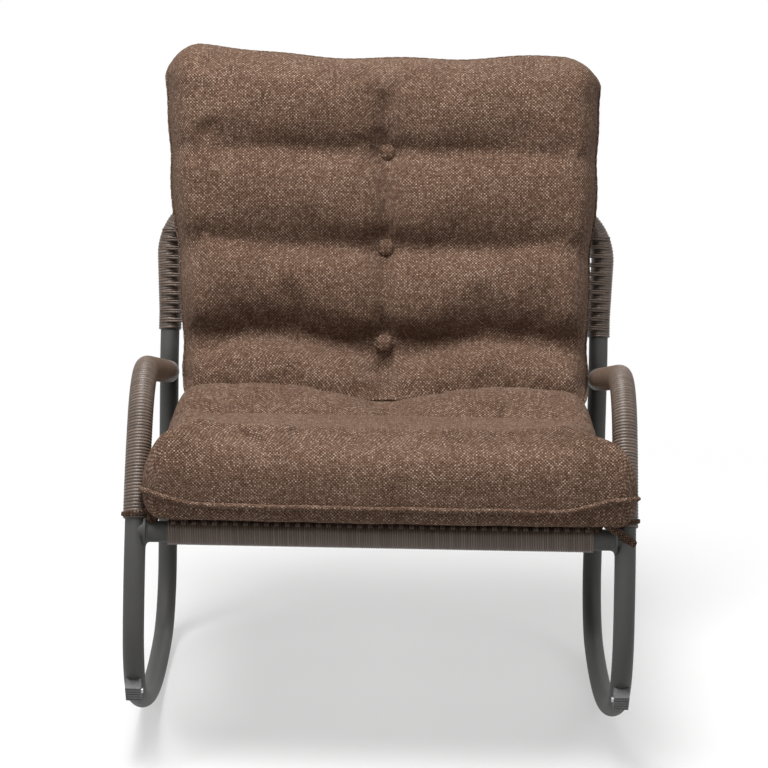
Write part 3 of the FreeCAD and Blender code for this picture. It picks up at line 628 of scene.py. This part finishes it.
strung("seat", 2 * wound_half, SEAT_LENGTH, seat_origin, seat_back, AXIS_X, seat_up, "seat_strands")
BACK_PANEL_LOW, BACK_PANEL_HIGH = 0.006, 0.159
back_panel = back_origin - AXIS_X * (HALF_TRACK + 0.002) + back_up * (BACK_PANEL_LOW + BACK_PANEL_HIGH) / 2
strung(
    "back", BACK_PANEL_HIGH - BACK_PANEL_LOW, 2 * HALF_TRACK + 0.004, back_panel, AXIS_X, back_up, back_front,
    "back_strands",
)

# %% [markdown]
# ## Tweed
# The pad is a brown heather tweed in a plain weave.  The weave follows the cloth, so it reads the UV map, which is
# in metres of cloth: the sine of each direction gives the yarns' round backs, and the parity of the two cell numbers
# says which yarn is on top.  The warp is paler, and a random tone for each crossing makes the heather.

# %% Tweed
YARN_PITCH = 0.0023


def tweed_finish(name, depth):
    """Heather tweed with every colour scaled by depth; below 1 that makes a darker copy of the same tweed, a painted
    shade.

    Small domes, pale where the warp is on top and darkened between as painted shade, have a fine noise of loose fibres
    across them.
    """
    tweed = Finish(name)
    _, (u, v, _) = tweed.place("UV")
    vector, _ = tweed.place()
    wander = tweed.cloud(vector, 70, 2.0) - 0.5
    across = u / YARN_PITCH + wander * 0.8
    along = v / YARN_PITCH + wander * 0.8
    dome = (across * math.pi).sine().size() * (along * math.pi).sine().size()
    top = ((across.floor() + along.floor()) / 2).fraction().above(0.25)
    cell = tweed.chance(across.floor(), along.floor())
    yarn = tweed.chance(across.floor() * top, (along / 9).floor() + along.floor() * (1 - top) * 31)
    fibre = tweed.cloud(vector, 640, 2.0, 0.6)
    mood = tweed.cloud(vector, 12, 3.0)
    tone = top * 0.30 + cell * 0.34 + yarn * 0.10 + (fibre - 0.5) * 0.70 + mood * 0.14 + 0.06
    dyes = (
        (0.14, (0.042, 0.020, 0.011)), (0.36, (0.092, 0.051, 0.033)), (0.56, (0.152, 0.091, 0.061)),
        (0.74, (0.250, 0.166, 0.122)), (0.92, (0.460, 0.345, 0.270)),
    )
    # depth scales every colour stop; below 1 it is painted shade.
    stops = [(place, tuple(depth * c for c in dye)) for place, dye in dyes]
    colour = tweed.node("ShaderNodeValToRGB", {"stops": stops}, {0: tone})
    # Painted shade: between the yarns' domes the colour is drawn towards near-black.
    shaded = tweed.blend(dome.ease(0.0, 0.40) * 0.55 + 0.45, (0.020, 0.009, 0.005), colour)
    relief = tweed.relief(dome + fibre * 0.5, 0.0009, 0.7)
    return tweed.surface(
        Base_Color=shaded, Roughness=0.94, Normal=relief, Specular_IOR_Level=0.10,
        Sheen_Weight=0.10, Sheen_Roughness=0.5, Sheen_Tint=(0.80, 0.58, 0.46, 1),
    )


tweed = tweed_finish("brown_heather_tweed", 1.0)
# The ties are the same tweed darkened to 0.55: painted shade for the shadow they lie in.
tie_shaded_tweed = tweed_finish("tie_tweed_painted_shade", 0.55)
print("tweed ready")

# %% [markdown]
# ## The pad
# Each half of the pad is two sheets of tweed sewn round their edge and stuffed.  A sheet's height over the seam is
# the edge curve, a quarter ellipse over the distance from the seam, times a crown that dips along the tufting
# lines and under the buttons.  Then cloth simulation blows it up a little with the tufts and the underside held,
# which swells the rolls between the lines as stuffing does.  The pinched folds of the seat's front are drawn in last.

# %% Pillow sheets
def ease(values, low, high):
    """0 below low, 1 above high, and a smooth cubic between."""
    t = np.clip((values - low) / (high - low), 0, 1)
    return t * t * (3 - 2 * t)


def bump(values, width):
    """A bell curve of a given half width."""
    return np.exp(-(values / width) ** 2)


def round_corners(x, y, half_x, half_y, radius):
    """Squares off-centre points up in a rectangle and rounds its corners: the corner square maps on a quarter disc."""
    over_x = np.maximum(np.abs(x) - (half_x - radius), 0) / radius
    over_y = np.maximum(np.abs(y) - (half_y - radius), 0) / radius
    new_x = over_x * np.sqrt(np.maximum(1 - over_y ** 2 / 2, 0))
    new_y = over_y * np.sqrt(np.maximum(1 - over_x ** 2 / 2, 0))
    return x - np.sign(x) * (over_x - new_x) * radius, y - np.sign(y) * (over_y - new_y) * radius


def edge_steps(count, edge):
    """Grid lines from -1 to 1 that crowd towards both ends."""
    even = np.linspace(-1, 1, count)
    return (1 - edge) * even + edge * np.sin(even * np.pi / 2)


def lip(inset, width):
    """A quarter ellipse: 0 at the seam and 1 from the given width inwards."""
    return np.sqrt(1 - (1 - np.clip(inset / width, 0, 1)) ** 2)


def pillow(name, length, half_width, corner, top_height, seam_height, upper, under, frame_axes, columns, rows, warp):
    """Two sheets over a rounded rectangle, joined at the seam.

    Each sheet leaves the seam along quarter ellipses.  upper and under give their widths at the sides, at the
    start and at the end of the length.  half_width, seam_height and top_height are functions, and warp shifts the
    outline's points.  The map counts metres of cloth from the middle of each sheet.  Returns the object, the flat
    places of its points, which belong to the top sheet, their distances from the seam, and the seam's points.
    """
    u = edge_steps(columns, 0.55)
    v = (edge_steps(rows, 0.45) + 1) / 2
    grid_v, grid_u = np.meshgrid(v, u, indexing="ij")
    flat_y = grid_v * length
    flat_x = grid_u * half_width(flat_y)
    x, y = round_corners(flat_x, flat_y - length / 2, half_width(flat_y), length / 2, corner)
    y = y + length / 2
    x, y = warp(x, y, grid_u, grid_v)
    insets = ((1 - np.abs(grid_u)) * half_width(flat_y), flat_y, length - flat_y)
    rise = np.prod([lip(inset, width) for inset, width in zip(insets, upper)], axis=0)
    drop = np.prod([lip(inset, width) for inset, width in zip(insets, under)], axis=0)
    seam = seam_height(x, y)
    top = seam + (top_height(x, y) - seam) * rise
    below = seam * (1 - drop)
    origin, axis_x, axis_y, axis_z = frame_axes
    flat = np.stack((flat_x, flat_y), axis=-1)

    def placed(height):
        return origin + x[..., None] * axis_x + y[..., None] * axis_y + height[..., None] * axis_z

    def run(sheet, axis):
        step = np.linalg.norm(np.diff(sheet, axis=axis), axis=-1)
        total = np.concatenate((np.zeros_like(step.take([0], axis)), np.cumsum(step, axis)), axis)
        return total - total.take([total.shape[axis] // 2], axis)

    sheets = np.stack((placed(top), placed(below)))
    index = np.arange(rows * columns).reshape(rows, columns)
    lower = index + rows * columns
    rim = np.zeros((rows, columns), bool)
    rim[0] = rim[-1] = True
    rim[:, 0] = rim[:, -1] = True
    lower = np.where(rim, index, lower)
    quads, maps = [], []
    for numbers, sheet, order in ((index, sheets[0], (0, 1, 2, 3)), (lower, sheets[1], (3, 2, 1, 0))):
        cloth = np.stack((run(sheet, 1), run(sheet, 0)), axis=-1)
        for kept, grid in ((quads, numbers), (maps, cloth)):
            corners = (grid[:-1, :-1], grid[:-1, 1:], grid[1:, 1:], grid[1:, :-1])
            kept.append(np.stack([corners[k] for k in order], axis=2).reshape(-1, 4, *grid.shape[2:]))
        widest, longest = (round(float(np.ptp(cloth[..., axis])), 3) for axis in (0, 1))
        print(name, "sheet", widest, "by", longest, "m flat")
    quads = np.concatenate(quads)
    used, renumbered = np.unique(quads, return_inverse=True)
    points = sheets.reshape(-1, 3)[used]
    flat_points = np.tile(flat.reshape(-1, 2), (2, 1))[used]
    seam_gap = np.tile(np.min(insets, axis=0).reshape(-1), 2)[used]
    is_top = used < rows * columns
    ring = np.concatenate((index[0, :-1], index[:-1, -1], index[-1, :0:-1], index[:0:-1, 0]))
    mesh = bpy.data.meshes.new(name)
    mesh.from_pydata(points.tolist(), [], renumbered.reshape(-1, 4).tolist())
    layer = mesh.uv_layers.new(name="surface")
    layer.data.foreach_set("uv", np.concatenate(maps).astype(np.float32).reshape(-1))
    mesh.polygons.foreach_set("use_smooth", np.ones(len(mesh.polygons), bool))
    mesh.materials.append(tweed)
    piece = bpy.data.objects.new(name, mesh)
    scene.collection.objects.link(piece)
    print(name, len(points), "points")
    return piece, flat_points, is_top, seam_gap, np.searchsorted(used, ring)


PRESSURE = 5.0
PUFF_CAP = 0.022


def puff(piece, held, seam_gap, frames=20):
    """Blows a pillow up with cloth simulation: held points resist, none moves beyond the cap, and the seam stays."""
    mesh = piece.data
    start = np.zeros(len(mesh.vertices) * 3)
    mesh.vertices.foreach_get("co", start)
    group = piece.vertex_groups.new(name="held")
    for weight in np.unique(held):
        group.add(np.flatnonzero(held == weight).tolist(), float(weight), "REPLACE")
    cloth = piece.modifiers.new("stuffing", "CLOTH")
    cloth.settings.quality = 6
    cloth.settings.mass = 0.25
    cloth.settings.tension_stiffness = 12
    cloth.settings.compression_stiffness = 12
    cloth.settings.shear_stiffness = 6
    cloth.settings.bending_stiffness = 0.6
    cloth.settings.shrink_min = -0.035
    cloth.settings.use_pressure = True
    cloth.settings.uniform_pressure_force = PRESSURE
    cloth.settings.vertex_group_mass = "held"
    cloth.settings.effector_weights.gravity = 0
    cloth.collision_settings.use_collision = False
    cloth.point_cache.frame_start = 1
    cloth.point_cache.frame_end = frames
    for number in range(1, frames + 1):
        scene.frame_set(number)
    shaped = piece.evaluated_get(bpy.context.evaluated_depsgraph_get()).to_mesh()
    end = np.zeros(len(mesh.vertices) * 3)
    shaped.vertices.foreach_get("co", end)
    piece.modifiers.remove(cloth)
    piece.vertex_groups.remove(group)
    scene.frame_set(1)
    moved = (end - start).reshape(-1, 3)
    far = np.linalg.norm(moved, axis=1)
    moved *= (np.minimum(1, PUFF_CAP / np.maximum(far, 1e-9)) * ease(seam_gap, 0.0, 0.035))[:, None]
    mesh.vertices.foreach_set("co", (start.reshape(-1, 3) + moved).reshape(-1))
    mesh.update()
    print(piece.name, "moved up to", round(float(far.max()) * 1000, 1), "mm, mean", round(float(far.mean()) * 1000, 2))


def pinch(piece, depth):
    """Draws points in along their normals by the depths given, as stitches pull cloth."""
    places, normals = np.zeros((2, 3 * len(piece.data.vertices)))
    piece.data.vertices.foreach_get("co", places)
    piece.data.vertices.foreach_get("normal", normals)
    piece.data.vertices.foreach_set("co", places - np.repeat(depth, 3) * normals)
    piece.data.update()


def soften(piece):
    """One subdivision over the finished cloth."""
    smooth = piece.modifiers.new("cloth_smooth", "SUBSURF")
    smooth.levels = smooth.render_levels = 1


print("pillow helpers ready")

# %% Back half of the pad
PAD_LIFT = 0.0206
BACK_LENGTH = 0.520
BACK_BASE = -0.10199
BACK_THICK = 0.116
STUFFING = 0.018
ROWS = np.array((0.082, 0.223, 0.364))
ROW_DEPTH = np.array((0.034, 0.018, 0.011))
ROW_FADE = np.array((0.10, 0.60, 0.90))
ROW_ARCH = np.array((0.016, 0.004, 0.001))
TUFT_HEIGHT = 0.066
back_axes = (back_origin + back_up * BACK_BASE + back_front * PAD_LIFT, AXIS_X, back_up, back_front)


def back_half(y):
    """Half width: straight between the arms, wider above them, and drawn in at each row of buttons."""
    drawn = 0.004 * bump(y[..., None] - ROWS, 0.034).sum(-1)
    return 0.2985 + 0.0195 * ease(y, 0.10, 0.40) - drawn


def row_lines(x):
    """Height of the three tufting lines, which arch up on both sides of the buttons."""
    return ROWS + ROW_ARCH * bump(np.abs(x[..., None]) - 0.17, 0.085)


def back_crown(x, y):
    """Crown of the back: rolls that hang over the row below them, a centre channel and three pits.

    A row's crease is a bell curve, steeper above its line than below it.
    """
    above = y[..., None] - row_lines(x)
    crease = np.where(above > 0, bump(above, 0.024), bump(above, 0.046))
    rows = (ROW_DEPTH * crease * (1 - ROW_FADE * ease(np.abs(x), 0.08, 0.24)[..., None])).sum(-1)
    channel_depth = 0.019 + 0.010 * (1 - ease(y, 0.02, 0.12)) - 0.009 * ease(y, 0.36, 0.48)
    channel = (0.6 * bump(x, 0.011) + 0.4 * bump(x, 0.045)) * channel_depth
    slack = STUFFING * ease(y, 0.0, 0.04) * (1 - 0.5 * ease(y, 0.42, 0.47)) * (1 - 0.7 * ease(np.abs(x), 0.21, 0.28))
    crown = BACK_THICK - slack - rows - channel - 0.010 * (1 - ease(y, 0.0, 0.035))
    pit = (bump(y[..., None] - ROWS, 0.026)).sum(-1) * bump(x, 0.024)
    return crown + (TUFT_HEIGHT - crown) * pit


def back_seam(x, y):
    """Height of the seam above the strands: at the front edge along the fold, and near the middle elsewhere."""
    return 0.042 - 0.006 * ease(y, 0.40, 0.52) + 0.054 * (1 - ease(y, 0.0, 0.03))


def back_warp(x, y, u, v):
    """The pad leans to the left, its top corners stand up like ears, and the edge between them dips in small waves."""
    ears = bump(np.abs(u) - 0.84, 0.20) * ease(v, 0.80, 1.0) * np.where(u < 0, 0.011, 0.001)
    dip = 0.009 * bump(u, 0.66) * ease(v, 0.75, 1.0)
    ripple = 0.0022 * np.sin(u * 11.0 + 0.6) * ease(v, 0.92, 1.0)
    lean = 0.004 - 0.014 * v
    sag = 0.006 * bump(u, 0.5) * (1 - ease(v, 0.0, 0.10))
    drop = 0.020 * ease(np.abs(u), 0.72, 1.0) * (1 - ease(v, 0.0, 0.10))
    return x + lean + np.sign(u) * 0.004 * bump(v - 0.93, 0.05), y + ears - dip + ripple - 0.003 - sag - drop


back_pillow, back_flat, back_top, back_gap, back_ring = pillow(
    "back_pillow", BACK_LENGTH, back_half, 0.052, back_crown, back_seam, (0.046, 0.030, 0.066),
    (0.022, 0.020, 0.030), back_axes, 96, 84, back_warp,
)
tuft_gap = np.min(np.hypot(back_flat[:, :1], back_flat[:, 1:] - ROWS), axis=1)
on_line = bump(back_flat[:, 1:] - row_lines(back_flat[:, 0]), 0.009) * np.array((1.0, 0.6, 0.3))
middle_line = 0.6 * bump(back_flat[:, 0], 0.008)
stitched = np.maximum(on_line.max(axis=1) * (1 - 0.6 * ease(np.abs(back_flat[:, 0]), 0.10, 0.26)), middle_line)
stitched = np.round(4 * stitched) / 4
back_held = np.where(back_top & (tuft_gap > 0.012) & (back_gap > 0.003), stitched, 1.0)
puff(back_pillow, back_held, back_gap)
soften(back_pillow)
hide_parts("back_pad")
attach(back_pillow, "back_cushion")

# %% Seat half of the pad
SEAT_FRONT = -0.044
SEAT_REAR = 0.545
SEAT_THICK = 0.113
SEAT_TUFT = 0.262
SEAT_PIT = 0.073
seat_axes = (seat_origin + seat_back * SEAT_FRONT + seat_up * PAD_LIFT, AXIS_X, seat_back, seat_up)


def seat_half(y):
    """Half width: the front corners reach out ahead of the legs, and the rest fits between and under the arms."""
    return 0.296 + 0.027 * (1 - ease(y, 0.022, 0.060)) + 0.009 * ease(y, 0.16, 0.30)


def seat_crown(x, y):
    """Crown of the seat: a full front roll, a tufted line with a pit in its middle, and two rear lobes."""
    u = y + SEAT_FRONT
    behind = u - SEAT_TUFT
    crease = np.where(behind > 0, bump(behind, 0.036), bump(behind, 0.058))
    tuft = 0.034 * crease * (0.30 + 0.70 * (1 - ease(np.abs(x), 0.17, 0.27)))
    channel = 0.022 * bump(x, 0.070) * ease(u, 0.22, 0.34) * (1 - 0.6 * ease(u, 0.37, 0.436))
    fall = 0.008 * ease(u, 0.405, 0.436) + 0.035 * ease(u, 0.436, 0.530)
    slack = STUFFING * (1 - ease(u, 0.29, 0.37)) * ease(u, -0.03, 0.05) * (1 - 0.8 * ease(np.abs(x), 0.20, 0.27))
    crown = SEAT_THICK - slack - tuft - channel - fall
    lobes = 0.010 * bump(u - 0.372, 0.04) * bump(np.abs(x) - 0.17, 0.10)
    pit = bump(np.hypot(x, behind), 0.028)
    return crown + lobes + (SEAT_PIT - crown) * pit


def seat_seam(x, y):
    """Height of the seam above the strands: low along the front, and raised at its two corners."""
    corner = ease(np.abs(x), 0.23, 0.32) * (1 - ease(y, 0.02, 0.10))
    return 0.021 + 0.017 * corner + 0.012 * ease(y, 0.10, 0.40)


def seat_warp(x, y, u, v):
    """The front edge bows forward, ripples along the piping and lies a little to the right."""
    front = 1 - ease(v, 0.0, 0.12)
    ripple = 0.0018 * np.sin(u * 17 + 0.4) + 0.0012 * np.sin(u * 31)
    return x + 0.011 * (1 - ease(y, 0.02, 0.055)), y + front * (0.010 * u ** 2 + ripple + 0.003)


seat_pillow, seat_flat, seat_top, seat_rim_gap, seat_ring = pillow(
    "seat_pillow", SEAT_REAR - SEAT_FRONT, seat_half, 0.026, seat_crown, seat_seam, (0.033, 0.046, 0.024),
    (0.026, 0.012, 0.020), seat_axes, 132, 96, seat_warp,
)
TUCKED_FROM = 0.425
past_tuft = seat_flat[:, 1] + SEAT_FRONT - SEAT_TUFT
seat_gap = np.hypot(seat_flat[:, 0], past_tuft)
tucked = seat_flat[:, 1] + SEAT_FRONT > TUCKED_FROM
seat_line = bump(past_tuft, 0.009) * (1 - 0.8 * ease(np.abs(seat_flat[:, 0]), 0.15, 0.26))
seat_free = seat_top & (seat_gap > 0.012) & ~tucked & (seat_rim_gap > 0.003)
seat_held = np.where(seat_free, np.round(4 * seat_line) / 4, 1.0)
puff(seat_pillow, seat_held, seat_rim_gap)
# Each pinched fold: its middle across and along, its slant, its depth and its reach.
PULLS = np.array((
    (-0.116, 0.046, 0.42, 0.0080, 0.026), (0.070, 0.060, 0.30, 0.0075, 0.034), (-0.178, 0.040, -0.50, 0.0060, 0.022),
    (0.165, 0.050, -0.35, 0.0045, 0.026),
))
pull_x, pull_y, pull_slant, pull_depth, pull_reach = PULLS.T
ahead = seat_flat[:, 1:] - pull_y
beside = seat_flat[:, :1] - pull_x - pull_slant * ahead
pulled = (pull_depth * bump(beside, 0.008) * bump(ahead, pull_reach)).sum(axis=1) * ease(seat_rim_gap, 0.0, 0.02)
pinch(seat_pillow, np.where(seat_top, pulled, 0.0))
soften(seat_pillow)
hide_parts("seat_pad")
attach(seat_pillow, "chair_frame")

# %% [markdown]
# ## Piping, buttons and ties
# A twisted cord covered in the same tweed is sewn into the edge of both halves.  Its path is the pillow's own
# seam, read back after the cloth has settled, so the cord follows every ripple.  A rope is a circle carried along
# a path, whose radius swells three times round and turns with the distance.  The ties are short straps of tweed:
# a band round each front leg, knots, which are trefoil curves carried by the same function, and one loose end.

# %% Cords along a path
def spread_evenly(path, step, closed):
    """Points every step or so along a path, by its running length."""
    joined = np.vstack((path, path[:1])) if closed else path
    length = np.append(0, np.cumsum(np.linalg.norm(np.diff(joined, axis=0), axis=1)))
    count = max(int(length[-1] / step), 8)
    places = np.linspace(0, length[-1], count, endpoint=not closed)
    return np.stack([np.interp(places, length, joined[:, axis]) for axis in range(3)], axis=1), places


TWIST_LENGTH = 0.014


def rope(name, path, radius, closed, up, finish, flat=1.0, twist=0.0, step=0.002, sides=12):
    """A cord along a path, round or flattened, with ends that close like a ball.

    The radius at angle a and distance d is radius * (1 + twist * cos(3 * a + full turn * d / twist length)).  An
    open cord tapers at its ends along quarter circles.
    """
    points, places = spread_evenly(np.asarray(path, float), step, closed)
    ahead = np.roll(points, -1, axis=0) - np.roll(points, 1, axis=0) if closed else np.gradient(points, axis=0)
    ahead /= np.linalg.norm(ahead, axis=1, keepdims=True)
    side = np.cross(ahead, up)
    side /= np.linalg.norm(side, axis=1, keepdims=True)
    rise = np.cross(side, ahead)
    angle = np.arange(sides) / sides * 2 * np.pi
    swell = radius * (1 + twist * np.cos(3 * angle[None, :] + 2 * np.pi * places[:, None] / TWIST_LENGTH))
    if not closed:
        swell = swell * lip(np.minimum(places, places[-1] - places), radius)[:, None]
    spoke = np.cos(angle)[None, :, None] * side[:, None, :] + flat * np.sin(angle)[None, :, None] * rise[:, None, :]
    surface = points[:, None, :] + swell[:, :, None] * spoke
    around = np.arange(sides + 1) / sides * 2 * np.pi * radius
    along = np.append(places, places[-1] + step) if closed else places
    uv = np.stack(np.meshgrid(around, along), axis=-1)
    piece = grid_object(name, surface, (closed, True), uv, finish)
    close_poles(piece)
    print(name, round(float(along[-1]), 3), "m long")
    return piece


def close_poles(piece):
    """Joins points that lie on each other and turns all faces outward."""
    shape = bmesh.new()
    shape.from_mesh(piece.data)
    bmesh.ops.remove_doubles(shape, verts=shape.verts, dist=1e-6)
    bmesh.ops.recalc_face_normals(shape, faces=shape.faces)
    shape.to_mesh(piece.data)
    shape.free()


def dress(piece, body, slot, *replaced):
    """Attaches a piece to the body it rides on and hides the construction nodes it stands for; slot, its finish slot,
    is not used.
    """
    if replaced:
        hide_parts(*replaced)
    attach(piece, body)


def seam_points(piece, ring):
    """Where a pillow's seam lies now."""
    places = np.zeros(len(piece.data.vertices) * 3)
    piece.data.vertices.foreach_get("co", places)
    return places.reshape(-1, 3)[ring]


CORD_RADIUS = 0.0036
seat_cord = rope("seat_piping", seam_points(seat_pillow, seat_ring), CORD_RADIUS, True, seat_up, tweed, twist=0.14)
dress(seat_cord, "chair_frame", "pad_fabric", "front_piping")
back_cord = rope("back_piping", seam_points(back_pillow, back_ring), 0.0021, True, back_front, tweed, twist=0.12)
dress(back_cord, "back_cushion", "pad_fabric")
FOLD_AXIS = np.array((0, 0.10498, 0.39517))
fold_x = np.linspace(-0.266, 0.266, 60)
fold_path = FOLD_AXIS + fold_x[:, None] * AXIS_X + 0.0004 * np.sin(fold_x * 90)[:, None] * seat_up
dress(rope("fold_cord", fold_path, 0.0024, False, seat_up, tweed, twist=0.1), "chair_frame", "pad_fabric", "fold_seam")
print("piping sewn on,", len(seat_cord.data.polygons) + len(back_cord.data.polygons), "faces")

# %% Covered buttons
BUTTON_RADIUS, BUTTON_HEIGHT = 0.0128, 0.0062


def covered_button(name, middle, axes):
    """A button covered in tweed: a half ellipse turned about its axis, with the cloth gathered in pleats at its rim."""
    angle = np.arange(48) / 48 * 2 * np.pi
    climb = np.linspace(0, np.pi, 25)
    reach = BUTTON_RADIUS * np.sin(climb)[:, None]
    height = BUTTON_HEIGHT * np.where(climb < np.pi / 2, np.cos(climb), 0.25 * np.cos(climb))[:, None]
    pleat = 1 + 0.035 * np.cos(14 * angle)[None, :] * bump(climb - np.pi / 2, 0.5)[:, None]
    x, y = reach * pleat * np.cos(angle), reach * pleat * np.sin(angle)
    flat_x, flat_y, out = axes
    surface = middle + x[..., None] * flat_x + y[..., None] * flat_y + np.broadcast_to(height, x.shape)[..., None] * out
    uv = np.stack((np.hstack((x, x[:, :1])), np.hstack((y, y[:, :1]))), axis=-1)
    piece = grid_object(name, surface, (False, True), uv, tweed)
    close_poles(piece)
    return piece


for number, row in enumerate(ROWS):
    middle = back_axes[0] + back_up * row + back_front * TUFT_HEIGHT
    piece = covered_button(f"back_button_{number + 1}", middle, (AXIS_X, back_up, back_front))
    dress(piece, "back_cushion", "pad_fabric", *(["back_buttons"] if number == 0 else []))
seat_middle = seat_axes[0] + seat_back * (SEAT_TUFT - SEAT_FRONT) + seat_up * SEAT_PIT
seat_button = covered_button("seat_cover_button", seat_middle, (AXIS_X, seat_back, seat_up))
dress(seat_button, "chair_frame", "pad_fabric", "seat_button")
print("four buttons")

# %% Ties at the front corners
TIE_RISE = 0.022
tie_place = trial[int(np.argmax(trial_points[:, 2] > RAIL_HEIGHT + TIE_RISE))]


def trefoil(middle, inward, size):
    """A trefoil curve seen from the front: two sines across, two cosines up and one sine in depth."""
    t = np.linspace(0, 2 * np.pi, 90, endpoint=False)[:, None]
    across, up = np.sin(t) + 2 * np.sin(2 * t), 1.1 * (np.cos(t) - 2 * np.cos(2 * t))
    return middle + size * (across * inward + up * AXIS_Z - np.sin(3 * t) * AXIS_Y)


def tie(label, side, knots, strapped):
    """A strap tied round one front leg: its band, knots beside it, and perhaps an end that hangs across the leg.

    Knots are given by their distance from the leg's axis and their height over the band.
    """
    middle, heading = (value[0] for value in arm_line(np.array((tie_place,)), side))
    forward = np.cross(heading, AXIS_X)
    turn = np.linspace(0, 2 * np.pi, 64, endpoint=False)[:, None]
    band = middle + (WRAP_RADIUS + 0.0012) * (np.cos(turn) * AXIS_X + np.sin(turn) * forward)
    band = band + 0.003 * np.sin(turn + 0.6) * heading
    pieces = [rope(f"{label}_tie_band", band, 0.0012, True, heading, tie_shaded_tweed, flat=2.6)]
    inward = -side * AXIS_X
    for number, (reach, rise) in enumerate(knots):
        knot = trefoil(middle + inward * reach + AXIS_Z * rise - AXIS_Y * 0.012, inward, 0.0032)
        pieces.append(rope(f"{label}_tie_knot_{number + 1}", knot, 0.0036, True, AXIS_Y, tie_shaded_tweed, flat=0.9))
    if strapped:
        s = np.linspace(0, 1, 30)[:, None]
        tail = (
            middle + inward * (0.030 - 0.043 * s) + AXIS_Z * (0.004 - 0.030 * s ** 1.2)
            - AXIS_Y * (0.021 + 0.003 * np.sin(np.pi * s))
        )
        pieces.append(rope(f"{label}_tie_tail", tail, 0.0058, False, AXIS_Y, tie_shaded_tweed, flat=0.4))
    return pieces


for pieces, label in (
    (tie("left", -1, ((0.023, 0.002), (0.058, -0.006)), False), "left"),
    (tie("right", 1, ((0.041, -0.005),), True), "right"),
):
    for number, piece in enumerate(pieces):
        dress(piece, "chair_frame", "tie_tape", *([f"{label}_tie"] if number == 0 else []))
print("ties knotted")
